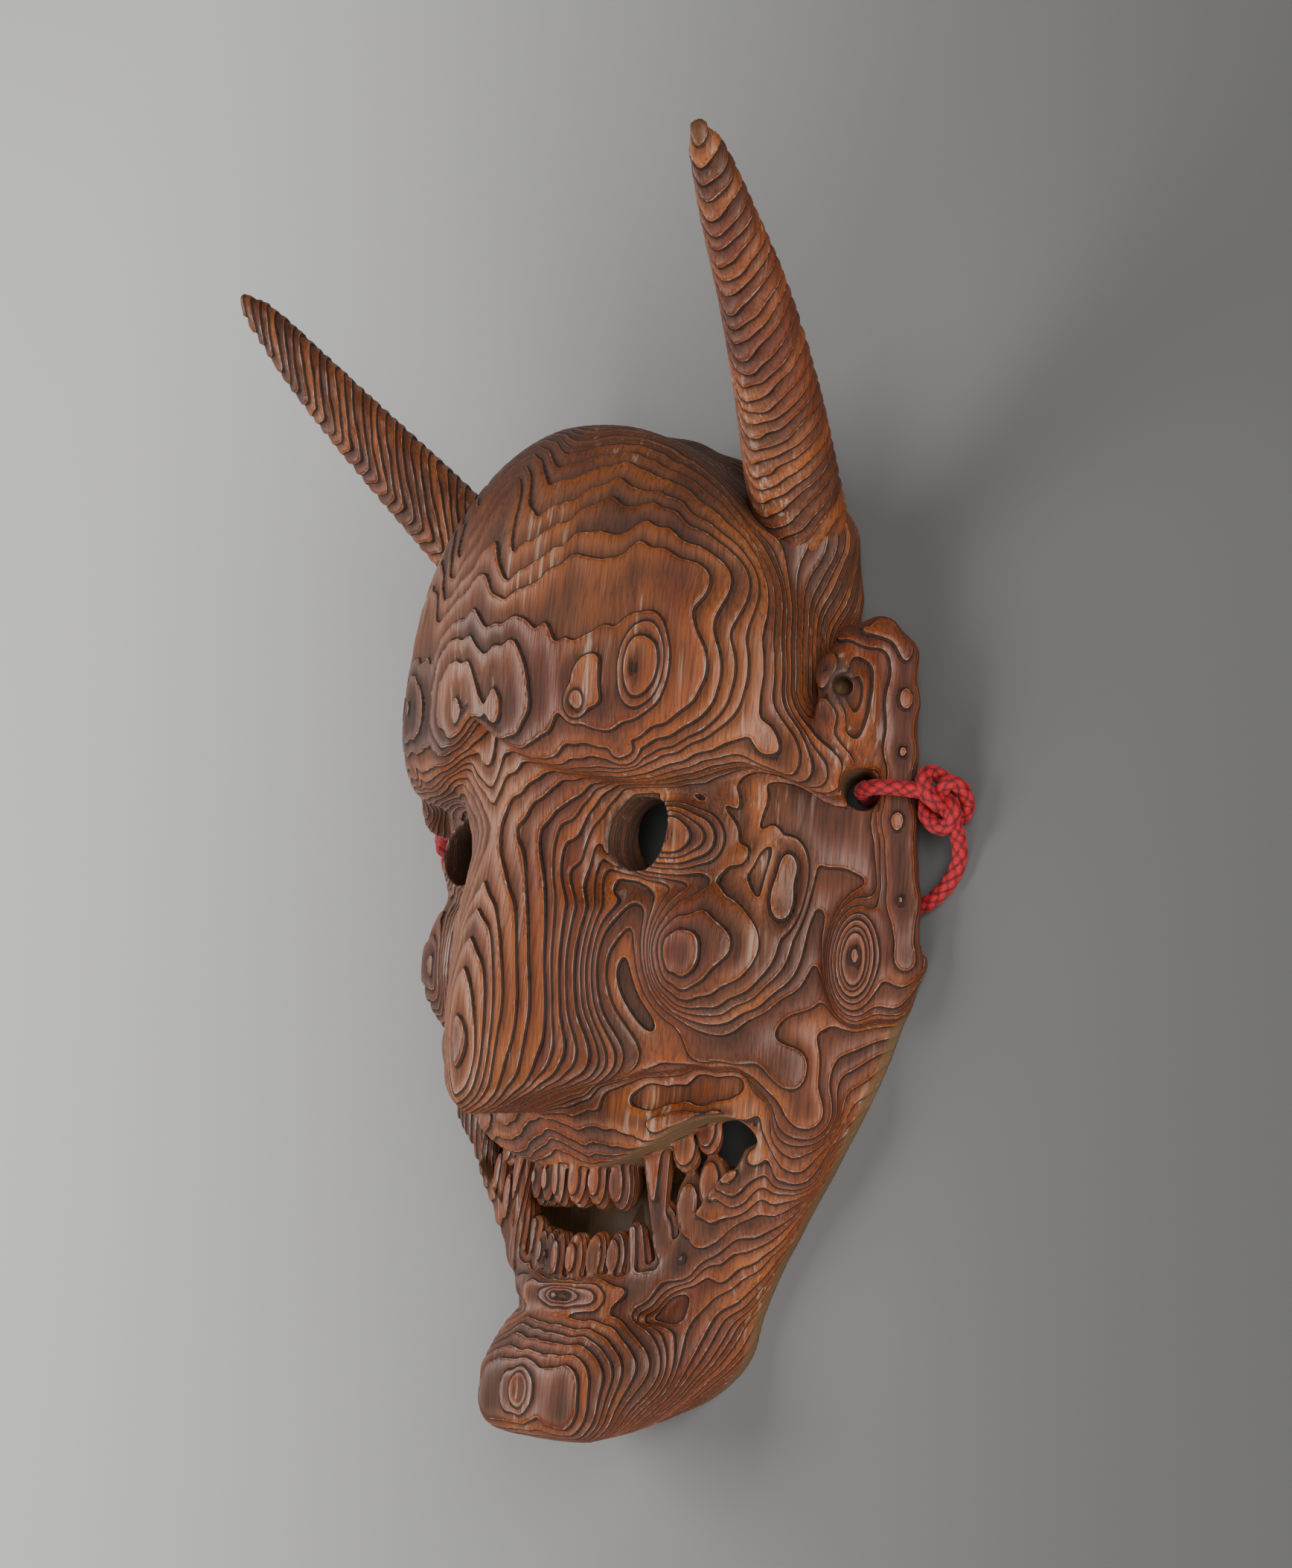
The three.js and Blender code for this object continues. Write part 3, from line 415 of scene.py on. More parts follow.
HEART_DEPTH = 45.0
RING_WAVES = [
    # height, turns per millimetre across, up and out of the face, and phase
    (0.45, 0.046, 0.006, 0.006, 0.3), (0.3, 0.029, 0.013, -0.02, 1.9), (0.16, 0.083, -0.008, 0.015, 4.1),
    (0.4, 0.0125, 0.018, 0.01, 2.2), (0.09, 0.14, 0.014, -0.03, 5.2), (0.05, 0.23, 0.02, 0.04, 0.9),
]
RING_WIDTHS = [(0.22, 0.9, 0.0), (0.1, 2.1, 1.0)]
RING_KNOTS = [
    # place, width, height, how far the rings are pushed out, and how flat the knot's top is
    (0, 60, 63, 60, 20, -5.5, 1),
    (43.1, 33.8, 54.7, 4.6, 10, 3.2, 2), (-43.5, 32.5, 54.5, 4.6, 9, 2.3, 2),
    (43, 30, 54, 17, 15, 1.7, 3), (-43, 30, 54, 16, 15, 1.7, 3),
    (35.5, 30, 59, 4, 9, -1.8, 1), (29.1, 24.5, 61.4, 2.6, 3.6, 1.7, 2),
    (37.7, 14.2, 53.3, 3.2, 2.8, 1.7, 2), (-34, 15, 55, 3, 3, 1.7, 2),
    (40.1, -28.5, 41.3, 8.2, 12, 3.2, 2), (40.1, -27.5, 41.3, 3.2, 7, 1.7, 2),
    (-39.5, -28, 41.3, 8.5, 11.5, 3.2, 2), (-39.8, -28, 41.3, 3.4, 7, 1.7, 2),
    (58.5, -9.6, 23.7, 4.8, 9.5, 3.4, 2), (-58.2, -8.6, 23.9, 4.8, 9, 2.4, 2),
    (72.8, -25.3, 17, 5, 10.5, 3.2, 2), (72.8, -25.3, 17, 2.4, 6, 1.7, 2),
    (-72.6, -24.5, 17, 5, 11, 3.2, 2), (-72.6, -24.5, 17, 2.4, 6, 1.7, 2),
    (0, -118, 37, 7, 7, 1.7, 2), (-0.4, -118, 37, 3, 3.6, 1.7, 2),
    (3, -97.6, 29.8, 10, 3.4, 2.4, 2), (2.4, -97.5, 29.8, 5, 1.8, 1.7, 2),
    (73.2, 30, 25, 7.5, 14, -9, 1), (-73.2, 30, 25, 7.5, 14, -9, 1),
    (31, -29, 43, 12, 19, -8, 1), (-31, -29, 43, 12, 19, -8, 1),
    (39, -1, 42, 14, 9, 5, 1), (-39, -1, 42, 14, 9, 5, 1),
    (0.4, -49.5, 62.1, 5.5, 9, 1.7, 2), (63, 15.6, 33.4, 5.5, 9, 1.7, 2), (-63, 16, 33.4, 5.5, 10, 1.7, 2),
]
WIDE_RING = 3.4  # a ring this wide is brushed out to the full depth
LEAST_RELIEF = 0.42  # the share of the depth that the narrowest rings get
LEAST_TURN = 0.03  # rings per millimetre, where the surface runs along a ring
BRUSHED_BAND = (-2.4, 1.6)  # the distances from the surface at which the grid is changed


def ring_number(x, y, z, spacing):
    """How many rings lie between the heart and a point: whole at the crisp outer edge of a hard layer."""
    r = np.sqrt(x * x + (z + HEART_DEPTH) ** 2)
    for height, across, up, out, phase in RING_WAVES:
        r = r + f32(height) * np.sin(f32(2 * math.pi) * (across * x + up * y + out * z) + phase)
    # On the forehead the rings bend away at the sides and run in level waves
    above = np.clip((y - 38) / 18, 0, 1)
    above = above * above * (3 - 2 * above)
    r = r + above * 4.5 * np.minimum((x / 38) ** 2, 1)
    r = r + above * 1.6 * np.cos(x * 0.25 + 0.4) * np.clip(1 - np.abs(x) / 60, 0, 1)
    for cx, cy, cz, wide, tall, push, flat in RING_KNOTS:
        away = ((x - cx) / wide) ** 2 + ((y - cy) / tall) ** 2 + ((z - cz) / wide) ** 2
        r = r + f32(push) * np.exp(-away ** flat)
    wider = r
    for height, turn, phase in RING_WIDTHS:
        wider = wider + height * np.sin(turn * r + phase)
    return (wider / spacing).astype(f32)


def ring_slope(p, normal, spacing, number=ring_number):
    """The ring number at points, and how fast it changes along the surface, per millimetre."""
    step = 0.2
    here = number(p[:, 0], p[:, 1], p[:, 2], spacing)
    moved = [[p[:, a] + step * (a == axis) for a in range(3)] for axis in range(3)]
    g = np.stack([number(*place, spacing) - here for place in moved], 1) / step
    g -= normal * (g * normal).sum(1, keepdims=True)
    return here, np.sqrt((g * g).sum(1))


def ring_width(turn):
    """How wide a ring is along the surface, in millimetres."""
    return 1 / np.maximum(turn, LEAST_TURN)


def relief(ring, turn, depth, edge):
    """Depth below the carved surface: a plate that dips from its crisp edge down to the next one's foot."""
    u = ring - np.floor(ring)
    width = ring_width(turn)
    full = depth * np.clip(width / WIDE_RING, LEAST_RELIEF, 1)
    climb = np.clip((1 - u) * width / edge, 0, 1)
    return full * u ** 1.4 * climb


def brushed(values, low, cell, smooth, spacing, depth, edge, number=ring_number):
    """The same distances with the growth rings brushed out; smooth tells where the wood isn't brushed."""
    i, j, k = np.nonzero((values > BRUSHED_BAND[0]) & (values < BRUSHED_BAND[1]))
    edge_free = (i > 0) & (j > 0) & (k > 0)
    edge_free &= (i < values.shape[0] - 1) & (j < values.shape[1] - 1) & (k < values.shape[2] - 1)
    i, j, k = i[edge_free], j[edge_free], k[edge_free]
    made = values.copy()
    for start in range(0, len(i), CHUNK):
        a, b, c = i[start:start + CHUNK], j[start:start + CHUNK], k[start:start + CHUNK]
        d = values[a, b, c]
        slope = np.stack([
            values[a + 1, b, c] - values[a - 1, b, c],
            values[a, b + 1, c] - values[a, b - 1, c],
            values[a, b, c + 1] - values[a, b, c - 1],
        ], 1) / (2 * cell)
        steep = np.linalg.norm(slope, axis=1, keepdims=True) + 1e-6
        normal = slope / steep
        p = (np.array(low, f32) + cell * np.stack([a, b, c], 1)).astype(f32)
        skin = p - normal * np.clip(d[:, None] / steep, -3, 3)
        ring, turn = ring_slope(skin, normal, spacing, number)
        cut = relief(ring, turn, depth, edge) * (1 - smooth(skin))
        made[a, b, c] = d + cut * np.minimum(steep[:, 0], 1.3)
    return made


# Meshes from arrays

# The frame's origin lies under the middle of the carving, this far up the face in the carver's millimetres
CARVING_MIDDLE = np.array((0, 1.8457, 0), f32)


def in_metres(points):
    """Places in the carver's millimetres as places in the frame."""
    return (np.asarray(points, f32) - CARVING_MIDDLE) * f32(MM)


def mesh_of(name, points, faces, attributes=()):
    """A smooth mesh, from millimetres, with float attributes on its points."""
    mesh = bpy.data.meshes.new(name)
    points = in_metres(points)
    faces = np.asarray(faces, np.int32)
    mesh.vertices.add(len(points))
    mesh.vertices.foreach_set("co", points.ravel())
    mesh.loops.add(faces.size)
    mesh.loops.foreach_set("vertex_index", faces.ravel())
    mesh.polygons.add(len(faces))
    mesh.polygons.foreach_set("loop_start", np.arange(0, faces.size, faces.shape[1], dtype=np.int32))
    mesh.update(calc_edges=True)
    mesh.polygons.foreach_set("use_smooth", np.ones(len(faces), bool))
    for label, values in dict(attributes).items():
        mesh.attributes.new(label, "FLOAT", "POINT").data.foreach_set("value", np.asarray(values, f32))
    return mesh


def add_object(mesh, material=None):
    """The mesh as an object in the scene."""
    obj = bpy.data.objects.new(mesh.name, mesh)
    bpy.context.scene.collection.objects.link(obj)
    if material:
        mesh.materials.append(material)
    return obj


def thinned(mesh, plain, share):
    """The mesh with its plain points reduced to a share of them."""
    obj = add_object(mesh)
    group = obj.vertex_groups.new(name="plain")
    group.add(np.nonzero(plain)[0].tolist(), 1.0, "REPLACE")
    modifier = obj.modifiers.new("fewer_faces", "DECIMATE")
    modifier.ratio = 1 - float(plain.mean()) * (1 - share)
    modifier.vertex_group = "plain"
    modifier.use_collapse_triangulate = True
    made = bpy.data.meshes.new_from_object(obj.evaluated_get(bpy.context.evaluated_depsgraph_get()))
    bpy.data.objects.remove(obj)
    bpy.data.meshes.remove(mesh)
    return made


def arrays_of(mesh, labels):
    """Points in millimetres, triangles and attributes of a mesh."""
    points = np.empty(len(mesh.vertices) * 3, f32)
    mesh.vertices.foreach_get("co", points)
    mesh.calc_loop_triangles()
    faces = np.empty(len(mesh.loop_triangles) * 3, np.int32)
    mesh.loop_triangles.foreach_get("vertices", faces)
    values = {}
    for label in labels:
        values[label] = np.empty(len(mesh.vertices), f32)
        mesh.attributes[label].data.foreach_get("value", values[label])
    return points.reshape(-1, 3) / f32(MM) + CARVING_MIDDLE, faces.reshape(-1, 3), values


def point_normals(points, faces):
    """The surface's direction at each point, from the triangles round it."""
    a, b, c = points[faces[:, 0]], points[faces[:, 1]], points[faces[:, 2]]
    n = np.cross(b - a, c - a)
    total = np.zeros_like(points)
    for corner in range(3):
        for axis in range(3):
            total[:, axis] += np.bincount(faces[:, corner], n[:, axis], len(points)).astype(f32)
    return total / (np.linalg.norm(total, axis=1, keepdims=True) + 1e-12)


def split_off(name, points, faces, keep, values, normals, material):
    """One piece of a surface; its normals are the whole surface's, so that no seam shows."""
    chosen = faces[keep]
    used, index = np.unique(chosen, return_inverse=True)
    mesh = mesh_of(name, points[used], index.reshape(chosen.shape), {k: v[used] for k, v in values.items()})
    mesh.normals_split_custom_set_from_vertices(normals[used])
    return add_object(mesh, material)


# Places on the mask with a finish of their own, and places given painted shade

EAR_POCKET = (73.2, 31.3, 26.4)
EAR_POCKET_REACH = (3, 5.5, 4)


def ear_pocket_shade(p):
    """Painted shade in the hollow in front of each ear's bowl."""
    places = np.abs(p[:, 0]), p[:, 1], p[:, 2]
    away = sum(((v - middle) / reach) ** 2 for v, middle, reach in zip(places, EAR_POCKET, EAR_POCKET_REACH))
    return np.exp(-away * away)


def hair(p):
    """The rolls of hair at the crown."""
    return np.clip(1.2 - ridge(np.abs(p[:, 0]), p[:, 1], p[:, 2], HAIR, 4), 0, 1)


def crown_darkening(p):
    """Darker towards the crown."""
    return np.clip((p[:, 1] - 42) / 80, 0, 0.5)


def eye_walls(p):
    """The walls of the two bores that the wearer looks through."""
    out = np.hypot(np.abs(p[:, 0]) - EYE_PLACE[0], p[:, 1] - EYE_PLACE[1]) - EYE_HOLE_DIAMETER / 2
    return np.clip((0.45 - out) / 0.3, 0, 1)


def smooth_places(p):
    """Where the wood isn't brushed: the hair, the walls behind the teeth, the bores and the back."""
    x, y, z = np.abs(p[:, 0]), p[:, 1], p[:, 2]
    flat = hair(p)
    flat = np.maximum(flat, eye_walls(p))
    flat = np.maximum(flat, np.clip(3 - z, 0, 1))
    low = (y < -50) & (x < 56)
    if low.any():
        q = x[low], y[low], z[low]
        deep = np.clip((0.5 - mouth(*q)) / 0.4, 0, 1) * np.clip((teeth(*q) - 0.3) / 0.4, 0, 1)
        deep *= np.clip((ridge(*q, LOWER_LIP, 3) - 0.4) / 0.4, 0, 1)
        flat[low] = np.maximum(flat[low], deep)
    return flat.astype(f32)


# The horns

HORN_FOOT = (49.0, 66.0, 18.0)
HORN_COURSE = [
    (0, 0, 0), (7, 11, 11), (14, 22.6, 22.2), (20, 32.9, 32.8), (24.7, 41.8, 42.3), (29, 51.8, 53.2),
    (32, 59.3, 60.9), (34.2, 64.2, 66.8),
]
HORN_FOOT_RADIUS = 10.5
HORN_TIP_RADIUS = 2.0
HORN_SEAT = 5.0
HORN_STEPS = 22
HORN_RELIEF = 1.3  # the horns are brushed deeper than the face by this much
# The box that the right horn lies in
HORN_LOW = (34.0, 54.0, 2.0)
HORN_HIGH = (90.0, 136.0, 92.0)


def curve_through(points, steps):
    """A smooth curve through points, with its steps evenly spread along it, and its length."""
    p = np.array(points, float)
    ends = np.vstack([2 * p[0] - p[1], p, 2 * p[-1] - p[-2]])
    knots = np.concatenate([[0], np.cumsum(np.linalg.norm(np.diff(ends, axis=0), axis=1) ** 0.5)])
    dense = []
    for i in range(len(p) - 1):
        t0, t1, t2, t3 = knots[i:i + 4]
        t = np.linspace(t1, t2, 25)[:, None]
        a = ends[i:i + 4]
        b1 = (t1 - t) / (t1 - t0) * a[0] + (t - t0) / (t1 - t0) * a[1]
        b2 = (t2 - t) / (t2 - t1) * a[1] + (t - t1) / (t2 - t1) * a[2]
        b3 = (t3 - t) / (t3 - t2) * a[2] + (t - t2) / (t3 - t2) * a[3]
        c1 = (t2 - t) / (t2 - t0) * b1 + (t - t0) / (t2 - t0) * b2
        c2 = (t3 - t) / (t3 - t1) * b2 + (t - t1) / (t3 - t1) * b3
        dense.append(((t2 - t) / (t2 - t1) * c1 + (t - t1) / (t2 - t1) * c2)[1 if i else 0:])
    dense = np.vstack(dense)
    far = np.concatenate([[0], np.cumsum(np.linalg.norm(np.diff(dense, axis=0), axis=1))])
    even = np.linspace(0, far[-1], steps + 1)
    return np.stack([np.interp(even, far, dense[:, axis]) for axis in range(3)], 1), far[-1]


def evenly(points, step):
    """A smooth curve through points in steps of nearly the given length, and its length."""
    _, length = curve_through(points, 1)
    return curve_through(points, round(length / step))


def horn_points():
    """Points along a horn with its radius at each, from its seat in the head to its blunt tip."""
    course = np.array(HORN_COURSE, float)
    seat = -course[1] / np.linalg.norm(course[1]) * HORN_SEAT
    course, _ = curve_through([seat, *course], HORN_STEPS)
    along = np.linspace(0, 1, HORN_STEPS + 1)
    radius = HORN_TIP_RADIUS + (HORN_FOOT_RADIUS - HORN_TIP_RADIUS) * (1 - along ** 1.3) ** 0.62
    return [(*c, r) for c, r in zip(course + np.array(HORN_FOOT), radius)]


HORN = horn_points()


def horn_ring_number(x, y, z, spacing):
    """Rings on a horn: each dips to a point on the side that faces up."""
    middle = np.interp(y, [p[1] for p in HORN], [p[0] for p in HORN])
    aside = np.abs(x) - middle - 1
    dip = 0.55 * (np.sqrt(aside * aside + 1.5) - 1.2)
    return ring_number(x, y, z, spacing) - (dip / spacing).astype(f32)


def horn_shape(x, y, z):
    """The right horn, cut off flat at its foot."""
    d = ridge(x, y, z, HORN, 1.5)
    foot, up = np.array(HORN[0][:3]), np.array(HORN[1][:3]) - np.array(HORN[0][:3])
    up /= np.linalg.norm(up)
    below = -((x - foot[0]) * up[0] + (y - foot[1]) * up[1] + (z - foot[2]) * up[2])
    return common(d, below, 1)


def bare_tip(p, side):
    """How far the stain is worn off near a horn's tip."""
    tip = np.array(HORN[-1][:3]) * (side, 1, 1)
    return np.clip(1.4 - np.linalg.norm(p - tip, axis=1) / 4, 0, 1) * 0.3


def brushed_all_over(p):
    """A horn has no place that isn't brushed."""
    return 0


# Looks


def group_of(name, inputs, outputs):
    """A new node group with named sockets, and its input and output nodes."""
    group = bpy.data.node_groups.new(name, "ShaderNodeTree")
    for label, kind in inputs:
        group.interface.new_socket(label, in_out="INPUT", socket_type=kind)
    for label, kind in outputs:
        group.interface.new_socket(label, in_out="OUTPUT", socket_type=kind)
    return group, group.nodes.new("NodeGroupInput"), group.nodes.new("NodeGroupOutput")


class Nodes:
    """A short way to put nodes into a tree and join them."""

    def __init__(self, tree):
        self.tree = tree

    def fill(self, socket, value):
        if hasattr(value, "links"):
            self.tree.links.new(value, socket)
        elif socket.type == "RGBA":
            socket.default_value = (*value, 1.0)
        else:
            socket.default_value = value

    def math(self, operation, a, b=0.0, clamp=False):
        node = self.tree.nodes.new("ShaderNodeMath")
        node.operation = operation
        node.use_clamp = clamp
        self.fill(node.inputs[0], a)
        self.fill(node.inputs[1], b)
        return node.outputs[0]

    def step(self, value, low, high, to_low=0.0, to_high=1.0):
        """The value taken smoothly from one range to another."""
        node = self.tree.nodes.new("ShaderNodeMapRange")
        node.interpolation_type = "SMOOTHSTEP"
        for socket, v in zip(node.inputs[:5], (value, low, high, to_low, to_high)):
            self.fill(socket, v)
        return node.outputs[0]

    def mix(self, share, a, b):
        node = self.tree.nodes.new("ShaderNodeMix")
        node.data_type = "RGBA"
        self.fill(node.inputs[0], share)
        self.fill(node.inputs[6], a)
        self.fill(node.inputs[7], b)
        return node.outputs[2]

    def noise(self, place, stretch, scale, detail=3.0, rough=0.55):
        """Noise at a place in metres, stretched along its axes; scale is in turns per millimetre."""
        scaled = self.tree.nodes.new("ShaderNodeVectorMath")
        scaled.operation = "MULTIPLY"
        self.fill(scaled.inputs[0], place)
        scaled.inputs[1].default_value = [1000 * s for s in stretch]
        node = self.tree.nodes.new("ShaderNodeTexNoise")
        self.fill(node.inputs["Vector"], scaled.outputs[0])
        node.inputs["Scale"].default_value = scale
        node.inputs["Detail"].default_value = detail
        node.inputs["Roughness"].default_value = rough
        return node.outputs["Fac"]


def cedar_figure(settings):
    """Colour, roughness and fine height, in millimetres, of brushed cedar from its ring number."""
    group, given, made = group_of(
        "cedar_figure",
        [("Ring", "NodeSocketFloat"), ("Width", "NodeSocketFloat"), ("Plain", "NodeSocketFloat"),
         ("Dark", "NodeSocketFloat"), ("Place", "NodeSocketVector")],
        [("Color", "NodeSocketColor"), ("Roughness", "NodeSocketFloat"), ("Height", "NodeSocketFloat")])
    n = Nodes(group)
    ring, width, plain, dark, place = (given.outputs[k] for k in ("Ring", "Width", "Plain", "Dark", "Place"))
    # The groove at a ring's foot and the crest of its edge, which take a larger share of a narrow ring
    u = n.math("FRACT", ring)
    thin = n.math("MINIMUM", n.math("DIVIDE", 0.8, width), 0.45)
    foot = n.math("SUBTRACT", 1.0, n.math("MULTIPLY", thin, 0.4))
    groove = n.step(u, n.math("SUBTRACT", 1.0, thin), foot)
    crest = n.step(u, n.math("MULTIPLY", thin, 0.45), 0.0)
    fibre = n.noise(place, (1, 0.05, 1), 1.9, 4.0, 0.6)
    streak = n.noise(place, (1, 0.03, 1), 0.75, 3.0, 0.6)
    patch = n.noise(place, (1, 0.45, 1), 0.06, 2.0, 0.5)
    cloud = n.noise(place, (1, 0.5, 1), 0.045, 2.0, 0.5)
    # The stain, which took better in some years' rings than in others
    year = n.tree.nodes.new("ShaderNodeTexWhiteNoise")
    year.noise_dimensions = "1D"
    n.fill(year.inputs["W"], n.math("FLOOR", ring))
    lit = n.step(n.math("ADD", n.math("MULTIPLY", year.outputs["Value"], 0.3), patch), 0.5, 0.85)
    colour = n.mix(lit, settings.wood_colour, settings.edge_and_highlight_colour)
    colour = n.mix(n.step(cloud, 0.42, 0.62, 0.0, 0.45), colour, settings.red_colour)
    colour = n.mix(n.step(fibre, 0.38, 0.72, 0.0, 0.6), colour, settings.grain_and_valley_shade_colour)
    # Painted shade: each plate darkens from its edge towards the next ring's foot
    colour = n.mix(n.step(u, 0.1, 1.0, 0.0, 0.6), colour, settings.grain_and_valley_shade_colour)
    # The crests take the edge colour: partly the latewood's own orange, partly a painted highlight along each
    # ring's edge
    colour = n.mix(n.math("MULTIPLY", crest, 0.75), colour, settings.edge_and_highlight_colour)
    # Painted shade in the groove at each ring's foot
    colour = n.mix(n.math("MULTIPLY", groove, 0.8), colour, settings.grain_and_valley_shade_colour)
    # Pale streaks where whole patches are worn, and painted glints along the crests
    worn = n.math("MULTIPLY", n.step(streak, 0.55, 0.68), n.step(patch, 0.5, 0.66))
    # Painted highlight: pale glints along the ring crests
    glint = n.math("MULTIPLY", n.step(streak, 0.54, 0.66), crest)
    pale = n.math("MAXIMUM", n.math("MULTIPLY", worn, 0.5), n.math("MULTIPLY", glint, 0.8))
    pale = n.math("MULTIPLY", pale, n.math("SUBTRACT", 1.0, groove))
    colour = n.mix(pale, colour, settings.wear_and_glint_colour)
    colour = n.mix(n.math("MULTIPLY", plain, 0.85), colour, settings.plain_colour)
    # The hair's own dark colour, and painted shade in the eye bores and the ear pockets
    colour = n.mix(n.math("MULTIPLY", dark, 0.85), colour, settings.hair_and_shade_colour)
    n.fill(made.inputs["Color"], colour)
    rough = n.step(u, 0.1, 0.7, settings.edge_roughness, settings.valley_roughness)
    rough = n.math("ADD", rough, n.math("MULTIPLY", fibre, 0.15))
    n.fill(made.inputs["Roughness"], n.math("ADD", rough, n.math("MULTIPLY", plain, 0.25), clamp=True))
    brushed_out = n.math("SUBTRACT", 1.0, n.math("MAXIMUM", plain, dark))
    step = n.math("SUBTRACT", n.math("MULTIPLY", crest, 0.1), n.math("MULTIPLY", groove, 0.4))
    height = n.math("MULTIPLY", step, brushed_out)
    height = n.math("ADD", height, n.math("MULTIPLY", fibre, settings.fine_depth / MM))
    n.fill(made.inputs["Height"], height)
    return group


def dressed(name, group, labels, depth):
    """A material whose looks come from a node group, which reads the mesh's attributes and the place on it."""
    material = bpy.data.materials.new(name)
    material.use_nodes = True
    tree = material.node_tree
    n = Nodes(tree)
    shader = tree.nodes["Principled BSDF"]
    figure = tree.nodes.new("ShaderNodeGroup")
    figure.node_tree = group
    for label in labels:
        source = tree.nodes.new("ShaderNodeAttribute")
        source.attribute_name = label
        n.fill(figure.inputs[label.capitalize()], source.outputs["Fac"])
    where = tree.nodes.new("ShaderNodeTexCoord")
    n.fill(figure.inputs["Place"], where.outputs["Object"])
    n.fill(shader.inputs["Base Color"], figure.outputs["Color"])
    bump = tree.nodes.new("ShaderNodeBump")
    bump.inputs["Distance"].default_value = depth
    n.fill(bump.inputs["Height"], figure.outputs["Height"])
    n.fill(shader.inputs["Normal"], bump.outputs["Normal"])
    return material, shader, figure


def cedar(settings):
    """Brushed cedar."""
    labels = ("ring", "width", "plain", "dark")
    material, shader, figure = dressed("brushed_cedar", cedar_figure(settings), labels, MM)
    Nodes(material.node_tree).fill(shader.inputs["Roughness"], figure.outputs["Roughness"])
    shader.inputs["Specular IOR Level"].default_value = 0.5
    return material


def braid_figure(settings):
    """Colour, with painted shade between the yarns, and fine height of braided yarn."""
    group, given, made = group_of(
        "braid_figure", [("Rise", "NodeSocketFloat"), ("Place", "NodeSocketVector")],
        [("Color", "NodeSocketColor"), ("Height", "NodeSocketFloat")])
    n = Nodes(group)
    fibre = n.noise(given.outputs["Place"], (1, 1, 1), 2.2, 3.0, 0.7)
    # Painted shade: the braid darkens where the yarns dip between each other
    colour = n.mix(n.step(given.outputs["Rise"], 0.15, 0.9), settings.shade, settings.colour)
    colour = n.mix(n.step(fibre, 0.3, 0.75, 0.45, 0.0), colour, settings.shade)
    n.fill(made.inputs["Color"], colour)
    n.fill(made.inputs["Height"], fibre)
    return group


def cord_material(settings):
    """Braided yarn with a slight sheen."""
    material, shader, _ = dressed("braided_cord", braid_figure(settings), ("rise",), 0.0002)
    shader.inputs["Roughness"].default_value = 0.62
    shader.inputs["Sheen Weight"].default_value = 0.08
    return material


# Painted shade: the backdrop darkens towards the right, in place of light falling off away from the key lamp
FLOOR_FADE = (-0.34, 0.2)  # where the backdrop's darkening starts and ends, in metres across it


def floor_material(settings):
    """A pale backdrop with painted shade that darkens it from the left to the right."""
    material = bpy.data.materials.new("floor")
    material.use_nodes = True
    tree = material.node_tree
    n = Nodes(tree)
    shader = tree.nodes["Principled BSDF"]
    where = tree.nodes.new("ShaderNodeTexCoord")
    apart = tree.nodes.new("ShaderNodeSeparateXYZ")
    n.fill(apart.inputs[0], where.outputs["Object"])
    shade = n.step(apart.outputs["X"], *FLOOR_FADE)
    n.fill(shader.inputs["Base Color"], n.mix(shade, settings.floor_colour, settings.floor_shade))
    shader.inputs["Roughness"].default_value = 0.9
    shader.inputs["Specular IOR Level"].default_value = 0.1
    return material


# Settings


class CedarSettings(bpy.types.PropertyGroup):
    """The carving's wood."""

    ring_spacing: FloatProperty(
        name="Ring spacing", description="From one growth ring to the next", default=0.00138, unit="LENGTH")
    horn_ring_spacing: FloatProperty(
        name="Ring spacing on horns", description="From one growth ring to the next on the horns",
        default=0.0024, unit="LENGTH")
    relief_depth: FloatProperty(
        name="Relief", description="Depth brushed out between wide rings", default=0.0009, unit="LENGTH")
    edge_width: FloatProperty(
        name="Edge width", description="Width of the step at a ring's edge", default=0.0004, unit="LENGTH")
    cell: FloatProperty(
        name="Mesh cell", description="Size of the surface's cells", default=0.00052, unit="LENGTH")
    fine_depth: FloatProperty(
        name="Fine grain", description="Depth of the fine grain", default=0.00015, unit="LENGTH")
    # The colour of the better-stained rings, and of the crests, where it is partly the wood's own orange and partly
    # a painted highlight
    edge_and_highlight_colour: FloatVectorProperty(
        name="Ring edge", description="Colour of the polished ring edges",
        default=(0.35, 0.096, 0.02), subtype="COLOR")
    wood_colour: FloatVectorProperty(
        name="Wood", description="Colour of the wood", default=(0.116, 0.031, 0.0095), subtype="COLOR")
    # The colour of the darker fibres of the grain, and of the painted shade in the valleys and grooves between the
    # rings
    grain_and_valley_shade_colour: FloatVectorProperty(
        name="Valley", description="Colour between the rings", default=(0.009, 0.004, 0.003), subtype="COLOR")
    red_colour: FloatVectorProperty(
        name="Red", description="Colour of the redder patches", default=(0.22, 0.038, 0.007), subtype="COLOR")
    # The colour of the worn streaks and of the painted glints on the crests
    wear_and_glint_colour: FloatVectorProperty(
        name="Pale streaks", description="Colour of the worn streaks",
        default=(0.52, 0.4, 0.31), subtype="COLOR")
    plain_colour: FloatVectorProperty(
        name="Unbrushed wood", description="Colour of the back and the bores",
        default=(0.12, 0.07, 0.03), subtype="COLOR")
    # The hair rolls' colour, also used as painted shade in the eye bores and the ear pockets
    hair_and_shade_colour: FloatVectorProperty(
        name="Hair", description="Colour of the rolls at the crown",
        default=(0.035, 0.02, 0.015), subtype="COLOR")
    edge_roughness: FloatProperty(
        name="Edge roughness", description="Roughness of the polished edges", default=0.3, subtype="FACTOR")
    valley_roughness: FloatProperty(
        name="Valley roughness", description="Roughness between the rings", default=0.66, subtype="FACTOR")


